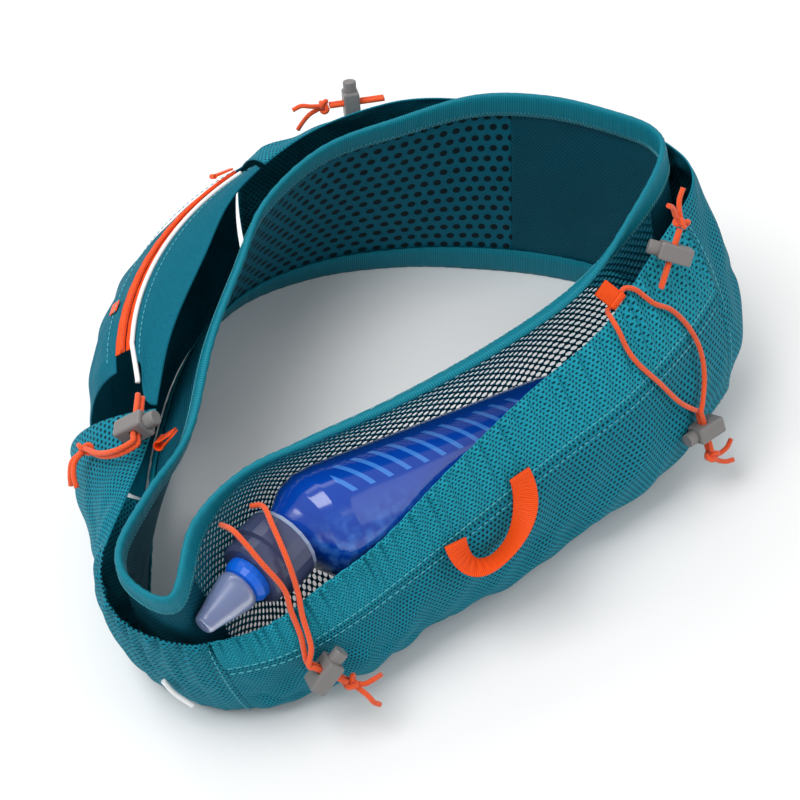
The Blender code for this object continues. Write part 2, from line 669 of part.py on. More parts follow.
flask_steps = (
    (-FLASK_LENGTH, 0.018, 0), (0.004 - FLASK_LENGTH, 0.0255, 0), (0.012 - FLASK_LENGTH, FLASK_RADIUS, 0),
    (-0.10, FLASK_RADIUS, 0), (-0.024, FLASK_RADIUS, 0), (-0.016, 0.0280, 0.2), (-0.010, 0.0245, 0.45),
    (-0.005, 0.0190, 0.7), (0.0012, 0.0135, 1), (0.0150, 0.0135, 1),
)
sweep("flask_body", [flask_ring(*step) for step in flask_steps], flask_blue)
cap_turn = FLASK_CAP_AXIS.to_track_quat("Z", "Y").to_matrix().to_4x4()
cap_place = Matrix.Translation(FLASK_NECK) @ cap_turn
gasket_profile = [(0.0139, 0.0056), (0.0200, 0.0056), (0.0200, 0.0036), (0.0139, 0.0036)]
turned("cap_gasket", gasket_profile, cap_place, rubber)
turned(
    "flask_cap",
    [(0.0062, 0.0300), (0.0165, 0.0300), (0.0180, 0.0286), (0.0180, 0.0202), (0.0205, 0.0194),
     (0.0205, 0.0060), (0.0139, 0.0060), (0.0139, 0.0156), (0.0062, 0.0156)],
    cap_place, cap_slate,
)
turned(
    "valve_base",
    [(0, 0.0380), (0.0080, 0.0380), (0.0105, 0.0370), (0.0125, 0.0340), (0.0125, 0.0304), (0.0058, 0.0304),
     (0.0058, 0.0160), (0, 0.0160)],
    cap_place, valve_blue,
)
turned(
    "bite_valve",
    [(0, 0.0660), (0.0036, 0.0660), (0.0056, 0.0640), (0.0070, 0.0580), (0.0098, 0.0470), (0.0110, 0.0420),
     (0.0104, 0.0384), (0, 0.0384)],
    cap_place, bite_clear,
)

# Cord locks. Each stands on its cord with X along it and Z along its plunger.
LOCK_SIZE = (0.0095, 0.0125, 0.0180)
LOCK_BASE = -0.0105
BORE, PLUNGER = 0.0043, 0.0040
STRAND = 0.0017          # each strand's distance from the middle of the lock
KNOT, KNOT_AT = 0.0038, 0.0165   # the knot's radius, and its distance from the lock

lock_mesh = combine(
    "lock_body",
    box("lock_block", (-LOCK_SIZE[0] / 2, -LOCK_SIZE[1] / 2, LOCK_BASE),
        (LOCK_SIZE[0] / 2, LOCK_SIZE[1] / 2, LOCK_BASE + LOCK_SIZE[2]), 0.0012),
    [cylinder("lock_bore", BORE, -0.0090, 0.0200),
     box("lock_slot", (-0.02, -0.0034, -0.0020), (0.02, 0.0034, 0.0020))],
)
plunger_mesh = combine(
    "lock_plunger",
    cylinder("plunger_post", PLUNGER, -0.0050, 0.0135, bevel=0.0006),
    [box("plunger_slot", (-0.02, -0.0033, -0.0017), (0.02, 0.0033, 0.0045))],
)
knot_mesh = bpy.data.meshes.new("cord_knot")
ball = bmesh.new()
bmesh.ops.create_icosphere(ball, subdivisions=2, radius=KNOT)
ball.to_mesh(knot_mesh)
ball.free()

bungee(
    "flask",
    lock_place((-0.1392, -0.1186, 0.0482), (0.75, 0, 0.66), (0.6, -0.4, -0.69)),
    strands=(
        ([(-0.1524, -0.0542, 0.1115), (-0.1528, -0.0655, 0.1192), (-0.1518, -0.0730, 0.1175),
          (-0.1493, -0.0843, 0.1095), (-0.1446, -0.0945, 0.0960), (-0.1445, -0.0992, 0.0830),
          (-0.1445, -0.1064, 0.0694)], 1),
        ([(-0.1346, -0.0540, 0.1120), (-0.1312, -0.0600, 0.1150), (-0.1344, -0.0721, 0.1155),
          (-0.1376, -0.0882, 0.1074), (-0.1385, -0.0965, 0.0930), (-0.1405, -0.1030, 0.0790),
          (-0.1425, -0.1118, 0.0650)], -1),
    ),
    tails=(
        [(-0.1235, -0.1290, 0.0345), (-0.1180, -0.1300, 0.0350), (-0.1130, -0.1290, 0.0330)],
        [(-0.1250, -0.1330, 0.0310), (-0.1230, -0.1360, 0.0260), (-0.1200, -0.1370, 0.0220)],
    ),
)
side_eye, eye_axis = cord_tab("cord_tab_side", (0.0830, -0.0650, 0.1385), (0.49, -0.62, -0.61),
                              (0.85, 0.02, 0.52), 0.0140, WEBBING_WIDTH)
bungee(
    "side",
    lock_place((0.1220, -0.1202, 0.0466), (-1, 0, 0), (0, -0.50, -0.87)),
    strands=(
        ([side_eye + eye_axis * 0.0004, side_eye + eye_axis * 0.0040, side_eye + eye_axis * 0.0076,
          (0.1005, -0.0742, 0.1335),
          (0.1084, -0.0813, 0.1242),
          (0.1187, -0.0855, 0.1161), (0.1273, -0.0922, 0.1030), (0.1321, -0.0991, 0.0878),
          (0.1311, -0.1060, 0.0737), (0.1250, -0.1130, 0.0630)], 1),
        ([side_eye - eye_axis * 0.0004, side_eye - eye_axis * 0.0040, side_eye - eye_axis * 0.0076,
          (0.0782, -0.0800, 0.1302), (0.0772, -0.0875, 0.1268),
          (0.0790, -0.0927, 0.1176), (0.0826, -0.0990, 0.1086), (0.0934, -0.1061, 0.0929),
          (0.1058, -0.1115, 0.0742), (0.1160, -0.1140, 0.0630)], -1),
    ),
    tails=(
        [(0.1280, -0.1290, 0.0300), (0.1340, -0.1290, 0.0310), (0.1390, -0.1270, 0.0330)],
        [(0.1270, -0.1300, 0.0260), (0.1320, -0.1320, 0.0230), (0.1370, -0.1330, 0.0220)],
    ),
)
left_place = lock_place((-0.1560, 0.0137, 0.1246), (0.61, -0.52, 0.60), (-0.614, -0.788, -0.06))
bungee(
    "left", left_place,
    strands=tuple(([left_place @ Vector((-0.0200, side * STRAND, 0))], side) for side in (1, -1)),
    knot=(-0.1775, 0.0330, 0.1050),
    slack=[(-0.1700, 0.0085, 0.1205), (-0.1752, 0.0180, 0.1130)],
    tails=(
        [(-0.1850, 0.0310, 0.1020), (-0.1890, 0.0260, 0.0990), (-0.1905, 0.0215, 0.0950)],
        [(-0.1845, 0.0350, 0.0990), (-0.1880, 0.0330, 0.0930), (-0.1900, 0.0300, 0.0880)],
    ),
)
right_place = lock_place((0.1277, -0.0722, 0.1433), (-0.62, 0.68, 0.2), (0.45, 0.35, 0.82))
bungee(
    "right", right_place,
    strands=tuple(([right_place @ Vector((-0.0200, side * STRAND, 0))], side) for side in (1, -1)),
    tails=(
        [(0.1380, -0.0640, 0.1610), (0.1400, -0.0610, 0.1660), (0.1440, -0.0590, 0.1710)],
        [(0.1330, -0.0660, 0.1620), (0.1310, -0.0650, 0.1680), (0.1260, -0.0660, 0.1730)],
    ),
)
front_place = lock_place((0.0829, 0.1537, 0.1260), (0.1, 0.25, 0.96), (-0.88, 0.45, -0.03))
bungee(
    "front", front_place,
    strands=tuple(([front_place @ Vector((-0.0200, side * STRAND, 0))], side) for side in (1, -1)),
    tails=(
        [(0.0600, 0.1640, 0.1220), (0.0560, 0.1660, 0.1170), (0.0530, 0.1680, 0.1110)],
        [(0.0600, 0.1630, 0.1280), (0.0550, 0.1660, 0.1290), (0.0500, 0.1680, 0.1270)],
    ),
)
cord_tab("cord_tab_left", (-0.1420, 0.0020, 0.1210), (-0.6, 0.3, -0.6), (0.61, 0.52, -0.40), 0.0120, 0.0100)

# Webbing loop on the hem's seam: it hangs out and down from its two sewn ends, half a turn in between.
loop_feet = (Vector((-0.0070, -0.1080, 0.0930)), Vector((-0.0533, -0.1135, 0.0787)))
loop_pull = Vector((0.0040, -0.0200, -0.0300))
seam_axis = (loop_feet[0] - loop_feet[1]).normalized()
loop_rings = []
for i in range(19):
    t = i / 18
    a, d = loop_feet
    b, c = a + loop_pull, d + Vector((-loop_pull.x, loop_pull.y, loop_pull.z))
    middle = a * (1 - t) ** 3 + b * 3 * t * (1 - t) ** 2 + c * 3 * t ** 2 * (1 - t) + d * t ** 3
    ahead = ((b - a) * (1 - t) ** 2 + (c - b) * 2 * t * (1 - t) + (d - c) * t ** 2).normalized()
    across = seam_axis * math.cos(math.pi * t) + Vector((0, -0.87, 0.5)) * math.sin(math.pi * t)
    across = (across - ahead * across.dot(ahead)).normalized()
    off = ahead.cross(across)
    wide, thick = across * (WEBBING_WIDTH / 2), off * (WEBBING / 2)
    loop_rings.append([middle + wide * u + thick * v for u, v in ((1, 1), (-1, 1), (-1, -1), (1, -1))])
sweep("webbing_loop", loop_rings, orange)
set_origin(bpy.data.objects["webbing_loop"], loop_feet[0])

# Reflective piping at the end pocket.
tube("end_piping", [(-0.2040, -0.0700, 0.0420), (-0.2010, -0.0740, 0.0330), (-0.1950, -0.0800, 0.0230)],
     CORD, piping_white)
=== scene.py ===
import math

import bpy
import numpy as np
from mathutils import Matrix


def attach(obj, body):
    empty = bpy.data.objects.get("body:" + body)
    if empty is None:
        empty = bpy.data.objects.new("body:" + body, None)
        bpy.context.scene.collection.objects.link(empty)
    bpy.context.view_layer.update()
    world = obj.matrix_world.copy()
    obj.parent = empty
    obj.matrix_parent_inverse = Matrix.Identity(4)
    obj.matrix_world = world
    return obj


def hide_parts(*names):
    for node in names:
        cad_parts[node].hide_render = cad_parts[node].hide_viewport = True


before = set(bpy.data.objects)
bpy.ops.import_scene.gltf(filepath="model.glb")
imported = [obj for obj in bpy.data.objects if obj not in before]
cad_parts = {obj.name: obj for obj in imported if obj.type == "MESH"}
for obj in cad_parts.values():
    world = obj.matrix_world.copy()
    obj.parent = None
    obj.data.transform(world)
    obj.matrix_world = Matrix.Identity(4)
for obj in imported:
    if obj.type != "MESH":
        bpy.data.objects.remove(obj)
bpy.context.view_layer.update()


# ---------------------------------------------------------------- the view, the light and the floor
# A pull-on running belt stands on a pale table. The camera looks down on it from its back left corner,
# through a long lens.
CAMERA_AZIMUTH, CAMERA_ELEVATION, CAMERA_DISTANCE = math.radians(38), math.radians(48), 0.95
CAMERA_TARGET, FOCAL_LENGTH = np.array([0.0, 0.0, 0.05]), 75.6
TABLE_SIDE = 6.0

level, rise = math.cos(CAMERA_ELEVATION), math.sin(CAMERA_ELEVATION)
away = np.array([-math.sin(CAMERA_AZIMUTH) * level, -math.cos(CAMERA_AZIMUTH) * level, rise])
lens = bpy.data.cameras.new("camera")
lens.lens = FOCAL_LENGTH
lens.clip_start = 0.02
camera = bpy.data.objects.new("camera", lens)
camera.location = CAMERA_TARGET + CAMERA_DISTANCE * away
camera.rotation_euler = (math.pi / 2 - CAMERA_ELEVATION, 0, -CAMERA_AZIMUTH)
bpy.context.scene.collection.objects.link(camera)
bpy.context.scene.camera = camera


def linear(colour):
    """An sRGB hex colour as linear red, green, blue and 1."""
    channels = np.array([int(colour[i:i + 2], 16) / 255 for i in (0, 2, 4)])
    values = np.where(channels <= 0.04045, channels / 12.92, ((channels + 0.055) / 1.055) ** 2.4)
    return (*values.tolist(), 1.0)


def add_node(tree, kind, inputs=(), **settings):
    """A shader node with its settings, and its inputs by name or number: a value, or a socket to link."""
    made = tree.nodes.new("ShaderNode" + kind)
    for key, value in settings.items():
        setattr(made, key, value)
    for key, value in dict(inputs).items():
        if isinstance(value, bpy.types.NodeSocket):
            tree.links.new(value, made.inputs[key])
        else:
            made.inputs[key].default_value = value
    return made


def finish_of(name, **values):
    """A new material, its node tree and its Principled shader; the values set the shader's sockets."""
    made = bpy.data.materials.new(name)
    made.use_nodes = True
    shader = made.node_tree.nodes["Principled BSDF"]
    for key, value in values.items():
        shader.inputs[key.replace("_", " ")].default_value = value
    return made, made.node_tree, shader


def area_light(name, place, size, power):
    """A square soft light at the place, turned to the belt."""
    lamp = bpy.data.lights.new(name, "AREA")
    lamp.size = size
    lamp.energy = power
    made = bpy.data.objects.new(name, lamp)
    made.location = place
    direction = CAMERA_TARGET - np.array(place)
    made.rotation_euler = (math.atan2(math.hypot(*direction[:2]), -direction[2]), 0,
                           math.atan2(direction[1], direction[0]) - math.pi / 2)
    bpy.context.scene.collection.objects.link(made)


area_light("key_light", (-0.75, 0.15, 1.5), 0.9, 17)
area_light("fill_light", (0.9, -0.9, 0.9), 1.2, 4)
area_light("back_light", (0.2, 1.3, 1.2), 1.2, 7)
world = bpy.data.worlds.new("studio")
world.use_nodes = True
world.node_tree.nodes["Background"].inputs["Color"].default_value = (1, 1, 1, 1)
world.node_tree.nodes["Background"].inputs["Strength"].default_value = 0.55
bpy.context.scene.world = world
bpy.context.scene.view_settings.view_transform = "Standard"

floor_mesh = bpy.data.meshes.new("table_top")
table_corners = [(x * TABLE_SIDE / 2, y * TABLE_SIDE / 2, 0) for x, y in ((-1, -1), (1, -1), (1, 1), (-1, 1))]
floor_mesh.from_pydata(table_corners, [], [(0, 1, 2, 3)])
table_top = bpy.data.objects.new("table_top", floor_mesh)
bpy.context.scene.collection.objects.link(table_top)
paper, _, _ = finish_of("white_paper", Base_Color=linear("F6F6F6"), Roughness=0.9)
floor_mesh.materials.append(paper)


# ---------------------------------------------------------------- bungee cords
# Round elastic cord 2.8 mm across, an orange braid over rubber strands. Each cord is doubled: two strands
# come from their tab or from the netting, run through a cord lock and end in an overhand knot.
CORD, BRAID_PITCH, BRAID_THREADS = 0.0028, 0.0018, 6
STRAND = 0.0017  # strand's middle to its pair's
KNOT, KNOT_AT = 0.0038, 0.0165  # knot's radius, and how far it is from its lock
POINT_SPACING = 0.0012
TREFOIL, TREFOIL_DEPTH = 0.00125, 1.25


def grid_object(name, points, finish, close_rows=False, close_columns=False, uv=None):
    """A smooth object on a grid of points, rows by columns, with a UV map in metres."""
    rows, columns = points.shape[:2]
    i = np.arange(rows if close_rows else rows - 1)
    j = np.arange(columns if close_columns else columns - 1)
    i, j = np.meshgrid(i, j, indexing="ij")
    k, m = (i + 1) % rows, (j + 1) % columns
    quads = np.stack([i * columns + j, k * columns + j, k * columns + m, i * columns + m], -1).reshape(-1, 4)
    mesh = bpy.data.meshes.new(name)
    mesh.from_pydata(points.reshape(-1, 3).tolist(), [], quads.tolist())
    if uv is not None:
        layer = mesh.uv_layers.new(name="cloth")
        corner = np.empty(len(mesh.loops), dtype=np.int32)
        mesh.loops.foreach_get("vertex_index", corner)
        layer.data.foreach_set("uv", uv.reshape(-1, 2)[corner].ravel())
    mesh.shade_smooth()
    made = bpy.data.objects.new(name, mesh)
    bpy.context.scene.collection.objects.link(made)
    mesh.materials.append(finish)
    return made


def fasten(made, body, node=None):
    """The piece moves with the body, and stands for the CAD node if one is given."""
    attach(made, body)
    if node:
        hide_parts(node)


def smooth_path(points, spacing):
    """Evenly spaced points on the Catmull-Rom curve through the given ones."""
    points = np.asarray(points, float)
    ends = np.vstack([2 * points[0] - points[1], points, 2 * points[-1] - points[-2]])
    f = np.linspace(0, 1, 24, endpoint=False)[:, None]
    fine = []
    for a, b, c, d in zip(ends, ends[1:], ends[2:], ends[3:]):
        square, cube = 2 * a - 5 * b + 4 * c - d, 3 * b - a - 3 * c + d
        fine.append(0.5 * (2 * b + (c - a) * f + square * f ** 2 + cube * f ** 3))
    fine = np.vstack(fine + [points[-1:]])
    along = np.concatenate([[0], np.cumsum(np.linalg.norm(np.diff(fine, axis=0), axis=1))])
    at = np.linspace(0, along[-1], max(3, round(along[-1] / spacing)) + 1)
    return np.stack([np.interp(at, along, fine[:, i]) for i in range(3)], -1)


def path_frames(path, closed=False):
    """Unit tangents, and two unit vectors square to them that turn as little as they can."""
    ahead = np.roll(path, -1, 0) - np.roll(path, 1, 0) if closed else np.gradient(path, axis=0)
    ahead = ahead / np.linalg.norm(ahead, axis=1, keepdims=True)
    first = np.cross(ahead[0], (0.31, 0.22, 0.92))
    sides = [first / np.linalg.norm(first)]
    for tangent in ahead[1:]:
        side = sides[-1] - tangent * (sides[-1] @ tangent)
        sides.append(side / np.linalg.norm(side))
    sides = np.array(sides)
    return ahead, sides, np.cross(ahead, sides)


def tube(name, path, radius, finish, sides=12, closed=False):
    """Round bar: at each point of the path a circle square to it. Open ends are drawn in to a point."""
    path = np.asarray(path, float)
    ahead, side, up = path_frames(path, closed)
    size = np.full(len(path), radius)
    along = np.concatenate([[0], np.cumsum(np.linalg.norm(np.diff(path, axis=0), axis=1))])
    if not closed:
        path = np.vstack([path[:1], path[:1], path, path[-1:], path[-1:]])
        side, up = (np.vstack([v[:1], v[:1], v, v[-1:], v[-1:]]) for v in (side, up))
        size = np.concatenate([[1e-5, size[0] * 0.8], size, [size[-1] * 0.8, 1e-5]])
        along = np.concatenate([[0, 0], along, [along[-1]] * 2])
    turn = 2 * math.pi * np.arange(sides) / sides
    ring = np.cos(turn)[None, :, None] * side[:, None] + np.sin(turn)[None, :, None] * up[:, None]
    points = path[:, None] + size[:, None, None] * ring
    uv = np.stack(np.broadcast_arrays(along[:, None], radius * turn[None, :]), -1)
    return grid_object(name, points, finish, closed, True, uv)


def two_tone(tree, shader, share, low, high):
    """Base colour that runs from low to high with the share; each is a colour or a socket."""
    mix = add_node(tree, "Mix", {0: share, 6: low, 7: high}, data_type="RGBA")
    tree.links.new(mix.outputs[2], shader.inputs["Base Color"])


def relief_of(tree, shader, height, strength, distance, **settings):
    """Bump from a height, of a distance in metres."""
    bump = add_node(tree, "Bump", {"Height": height, "Strength": strength, "Distance": distance}, **settings)
    tree.links.new(bump.outputs[0], shader.inputs["Normal"])
    return bump


def braid(name, colour, shade_colour):
    """Braided cord: the greater of two diagonal waves, 1.8 mm long and six round it, as bump and painted
    shade.
    """
    made, tree, shader = finish_of(name, Roughness=0.75, Sheen_Weight=0.25)
    uv = add_node(tree, "UVMap", uv_map="cloth")
    parts = add_node(tree, "SeparateXYZ", {0: uv.outputs[0]})
    along = add_node(tree, "Math", {0: parts.outputs[0], 1: 2 * math.pi / BRAID_PITCH}, operation="MULTIPLY")
    around = add_node(tree, "Math", {0: parts.outputs[1], 1: 2 * BRAID_THREADS / CORD}, operation="MULTIPLY")
    plus = add_node(tree, "Math", {0: along.outputs[0], 1: around.outputs[0]}, operation="ADD")
    minus = add_node(tree, "Math", {0: along.outputs[0], 1: around.outputs[0]}, operation="SUBTRACT")
    one = add_node(tree, "Math", {0: plus.outputs[0]}, operation="SINE")
    two = add_node(tree, "Math", {0: minus.outputs[0]}, operation="SINE")
    weave = add_node(tree, "Math", {0: one.outputs[0], 1: two.outputs[0]}, operation="MAXIMUM")
    # The colour is darker where the threads dip: painted shade in the grooves between them.
    two_tone(tree, shader, weave.outputs[0], linear(shade_colour), linear(colour))
    relief_of(tree, shader, weave.outputs[0], 0.5, 0.0003)
    return made


# The second colour is painted shade between the braid's threads.
bungee_braid = braid("bungee_cord_braid", "FF5E12", "D9400A")


def unit(v):
    """The vector at length 1."""
    v = np.asarray(v, float)
    return v / np.linalg.norm(v)


def lock_axes(centre, barrel, cord):
    """A lock's middle and its axes: X along the cord, Y across the two strands, Z along the plunger."""
    b = unit(barrel)
    c = unit(np.asarray(cord, float) - b * (np.asarray(cord, float) @ b))
    return np.array(centre), np.array([c, np.cross(b, c), b])


def at_lock(lock, *local):
    """A point given in a lock's own axes."""
    return lock[0] + np.array(local) @ lock[1]


def strand(label, number, lock, route, side, knot, slack=()):
    """One strand's points: its route, straight through the lock, and on to the knot."""
    aside = side * STRAND * lock[1][1]
    run = [np.array(p) for p in route]
    run += [at_lock(lock, x, side * STRAND, 0) for x in (-0.0120, -0.0080, 0.0, 0.0060, 0.0100)]
    run += [np.array(p) + aside for p in slack]
    run.append(knot + aside + unit(run[-1] - knot - aside) * (KNOT - 0.0006))
    path = smooth_path(run, POINT_SPACING)
    made = tube(f"cord_{label}_{number}", path, CORD / 2, bungee_braid)
    fasten(made, "belt", f"bungee_{label}_strand_{number}")
    return made, path


def overhand_knot(label, lock, knot, tails):
    """A pulled-tight knot: a trefoil curve wound close, and the two cut ends that leave it."""
    turn = np.linspace(0, 2 * math.pi, 90, endpoint=False)
    loop = np.stack([np.sin(turn) + 2 * np.sin(2 * turn), np.cos(turn) - 2 * np.cos(2 * turn),
                     -TREFOIL_DEPTH * np.sin(3 * turn)], -1)
    path = knot + TREFOIL * loop @ lock[1][[2, 1, 0]]
    ball = tube(f"knot_{label}", path, CORD / 2 * 0.95, bungee_braid, closed=True)
    fasten(ball, "belt", f"bungee_{label}_knot")
    ends = []
    for i, tail in enumerate(tails):
        start = knot + unit(np.array(tail[0]) - knot) * 0.3 * KNOT
        route = smooth_path([start] + list(tail), POINT_SPACING)
        end = tube(f"knot_{label}_end_{i + 1}", route, CORD / 2, bungee_braid)
        fasten(end, "belt")
        ends.append(end)
    return [ball] + ends


def bungee(label, lock, routes, tails, knot=None, slack=()):
    """A doubled cord through its lock, and its knot with two cut ends."""
    knot = at_lock(lock, KNOT_AT, 0, 0) if knot is None else np.array(knot)
    knots = overhand_knot(label, lock, knot, tails)
    for number, side in ((1, 1), (2, -1)):
        made, path = strand(label, number, lock, routes[number - 1], side, knot, slack)


bungee(
    "flask", lock_axes((-0.1392, -0.1186, 0.0482), (0.75, 0, 0.66), (0.6, -0.4, -0.69)),
    (
        [(-0.1524, -0.0542, 0.1115), (-0.1528, -0.0655, 0.1192), (-0.1518, -0.0730, 0.1175),
         (-0.1493, -0.0843, 0.1095), (-0.1446, -0.0945, 0.0960), (-0.1445, -0.0992, 0.0830),
         (-0.1445, -0.1064, 0.0694)],
        [(-0.1346, -0.0540, 0.1120), (-0.1312, -0.0600, 0.1150), (-0.1344, -0.0721, 0.1155),
         (-0.1376, -0.0882, 0.1074), (-0.1385, -0.0965, 0.0930), (-0.1405, -0.1030, 0.0790),
         (-0.1425, -0.1118, 0.0650)],
    ),
    ([(-0.1235, -0.1290, 0.0345), (-0.1180, -0.1300, 0.0350), (-0.1130, -0.1290, 0.0330)],
     [(-0.1250, -0.1330, 0.0310), (-0.1230, -0.1360, 0.0260), (-0.1200, -0.1370, 0.0220)]),
)
tab_root, tab_along = np.array([0.0830, -0.0650, 0.1385]), unit((0.49, -0.62, -0.61))
tab_across = np.array([0.85, 0.02, 0.52])
tab_across = unit(tab_across - tab_along * (tab_across @ tab_along))
side_eye = tab_root + tab_along * (0.0140 - CORD / 2 - 0.0013)
bungee(
    "side", lock_axes((0.1220, -0.1202, 0.0466), (-1, 0, 0), (0, -0.50, -0.87)),
    (
        [side_eye + tab_across * 0.0004, side_eye + tab_across * 0.0040, side_eye + tab_across * 0.0076,
         (0.1005, -0.0742, 0.1335), (0.1084, -0.0813, 0.1242), (0.1187, -0.0855, 0.1161),
         (0.1273, -0.0922, 0.1030), (0.1321, -0.0991, 0.0878), (0.1311, -0.1060, 0.0737),
         (0.1250, -0.1130, 0.0630)],
        [side_eye - tab_across * 0.0004, side_eye - tab_across * 0.0040, side_eye - tab_across * 0.0076,
         (0.0782, -0.0800, 0.1302), (0.0772, -0.0875, 0.1268), (0.0790, -0.0927, 0.1176),
         (0.0826, -0.0990, 0.1086), (0.0934, -0.1061, 0.0929), (0.1058, -0.1115, 0.0742),
         (0.1160, -0.1140, 0.0630)],
    ),
    ([(0.1280, -0.1290, 0.0300), (0.1340, -0.1290, 0.0310), (0.1390, -0.1270, 0.0330)],
     [(0.1270, -0.1300, 0.0260), (0.1320, -0.1320, 0.0230), (0.1370, -0.1330, 0.0220)]),
)
left_lock = lock_axes((-0.1560, 0.0137, 0.1246), (0.61, -0.52, 0.60), (-0.614, -0.788, -0.06))
bungee(
    "left", left_lock,
    [[at_lock(left_lock, -0.0200, side * STRAND, 0)] for side in (1, -1)],
    ([(-0.1850, 0.0310, 0.1020), (-0.1890, 0.0260, 0.0990), (-0.1905, 0.0215, 0.0950)],
     [(-0.1845, 0.0350, 0.0990), (-0.1880, 0.0330, 0.0930), (-0.1900, 0.0300, 0.0880)]),
    knot=(-0.1775, 0.0330, 0.1050),
    slack=[(-0.1700, 0.0085, 0.1205), (-0.1752, 0.0180, 0.1130)],
)
right_lock = lock_axes((0.1277, -0.0722, 0.1433), (-0.62, 0.68, 0.2), (0.45, 0.35, 0.82))
bungee(
    "right", right_lock,
    [[at_lock(right_lock, -0.0200, side * STRAND, 0)] for side in (1, -1)],
    ([(0.1380, -0.0640, 0.1610), (0.1400, -0.0610, 0.1660), (0.1440, -0.0590, 0.1710)],
     [(0.1330, -0.0660, 0.1620), (0.1310, -0.0650, 0.1680), (0.1260, -0.0660, 0.1730)]),
)
front_lock = lock_axes((0.0829, 0.1537, 0.1260), (0.1, 0.25, 0.96), (-0.88, 0.45, -0.03))
bungee(
    "front", front_lock,
    [[at_lock(front_lock, -0.0200, side * STRAND, 0)] for side in (1, -1)],
    ([(0.0600, 0.1640, 0.1220), (0.0560, 0.1660, 0.1170), (0.0530, 0.1680, 0.1110)],
     [(0.0600, 0.1630, 0.1280), (0.0550, 0.1660, 0.1290), (0.0500, 0.1680, 0.1270)]),
)


# ---------------------------------------------------------------- cloth panels
# Every panel of the loop is one piece of cloth on the belt's surface, 0.9 mm thick: stretch mesh with rows of
# small eyelets outside, smooth knit inside, and denser cloth over the zip pocket. Elastic edges gather it,
# and it is creased where it bends.
# Stations run round the loop anticlockwise from above, from the narrow folded end. Each row: top edge x, y,
# z, bottom edge x, y, and how far the flask pushes the wall in, half-way up.
STATIONS = np.array([
    [-0.207, -0.060, 0.118, -0.190, -0.052, 0.000],
    [-0.196, -0.079, 0.118, -0.172, -0.080, 0.000],
    [-0.166, -0.052, 0.121, -0.140, -0.094, 0.012],
    [-0.132, -0.045, 0.127, -0.108, -0.098, 0.032],
    [-0.095, -0.052, 0.131, -0.072, -0.099, 0.041],
    [-0.045, -0.061, 0.134, -0.025, -0.099, 0.044],
    [0.015, -0.065, 0.137, 0.025, -0.099, 0.045],
    [0.075, -0.061, 0.141, 0.078, -0.099, 0.041],
    [0.130, -0.039, 0.148, 0.132, -0.094, 0.014],
    [0.170, -0.018, 0.153, 0.177, -0.063, 0.000],
    [0.181, 0.000, 0.155, 0.197, -0.020, 0.000],
    [0.172, 0.027, 0.155, 0.192, 0.025, 0.000],
    [0.153, 0.060, 0.154, 0.170, 0.062, 0.000],
    [0.125, 0.089, 0.150, 0.138, 0.096, 0.000],
    [0.085, 0.109, 0.141, 0.100, 0.128, 0.000],
    [0.040, 0.123, 0.133, 0.050, 0.154, 0.000],
    [-0.009, 0.111, 0.127, -0.005, 0.162, 0.000],
    [-0.048, 0.080, 0.124, -0.058, 0.140, 0.000],
    [-0.090, 0.045, 0.121, -0.105, 0.098, 0.000],
    [-0.134, 0.000, 0.119, -0.145, 0.048, 0.000],
    [-0.170, -0.020, 0.119, -0.172, 0.005, 0.000],
    [-0.200, -0.040, 0.119, -0.190, -0.025, 0.000],
])
# The outer pockets' section at each station: three points as share of the height and distance outwards.
SECTIONS = np.array([
    [0.15, 0.010, 0.60, 0.014, 0.80, 0.012],
    [0.15, 0.012, 0.55, 0.014, 0.72, 0.009],
    [0.12, 0.022, 0.50, 0.034, 0.62, 0.026],
    [0.12, 0.036, 0.50, 0.040, 0.69, 0.038],
    [0.12, 0.040, 0.55, 0.038, 0.72, 0.034],
    [0.12, 0.042, 0.60, 0.038, 0.80, 0.024],
    [0.12, 0.042, 0.65, 0.038, 0.85, 0.014],
    [0.12, 0.040, 0.70, 0.044, 0.90, 0.014],
    [0.13, 0.036, 0.65, 0.046, 0.92, 0.014],
    [0.12, 0.046, 0.60, 0.036, 0.90, 0.016],
    [0.14, 0.036, 0.65, 0.022, 0.90, 0.010],
    [0.20, 0.026, 0.75, 0.026, 0.92, 0.006],
    [0.20, 0.022, 0.80, 0.026, 0.93, 0.005],
    [0.20, 0.018, 0.80, 0.024, 0.94, 0.007],
    [0.20, 0.020, 0.85, 0.034, 0.99, 0.017],
    [0.18, 0.026, 0.85, 0.056, 0.98, 0.019],
    [0.15, 0.034, 0.85, 0.076, 0.985, 0.020],
    [0.15, 0.042, 0.85, 0.092, 0.985, 0.021],
    [0.15, 0.046, 0.85, 0.112, 0.985, 0.022],
    [0.15, 0.040, 0.80, 0.080, 0.97, 0.019],
    [0.15, 0.028, 0.75, 0.040, 0.93, 0.012],
    [0.15, 0.016, 0.65, 0.020, 0.86, 0.011],
])
FOOT_GAP, FOOT_SHARE = 0.0030, 0.02
ZIP_CENTRE, ZIP_RADIUS, ZIP_HEIGHT, ZIP_SLOPE = np.array([0.028, -0.025]), 0.185, 0.110, math.radians(30)
COVER_EDGE, BAND_EDGE, COVER_OFFSET, BAND_OFFSET = 0.78, 0.84, 0.0050, 0.0080
STRAIGHT_LOW, STRAIGHT_HIGH = 0.07, 0.95


def spline(rows, s):
    """Catmull-Rom curve through the rows, which close on themselves; s counts rows."""
    s = np.asarray(s, float)
    k = np.floor(s).astype(int)
    f = (s - k)[..., None]
    a, b, c, d = (rows[(k + i) % len(rows)] for i in (-1, 0, 1, 2))
    square, cube = 2 * a - 5 * b + 4 * c - d, 3 * b - a - 3 * c + d
    return 0.5 * (2 * b + (c - a) * f + square * f ** 2 + cube * f ** 3)


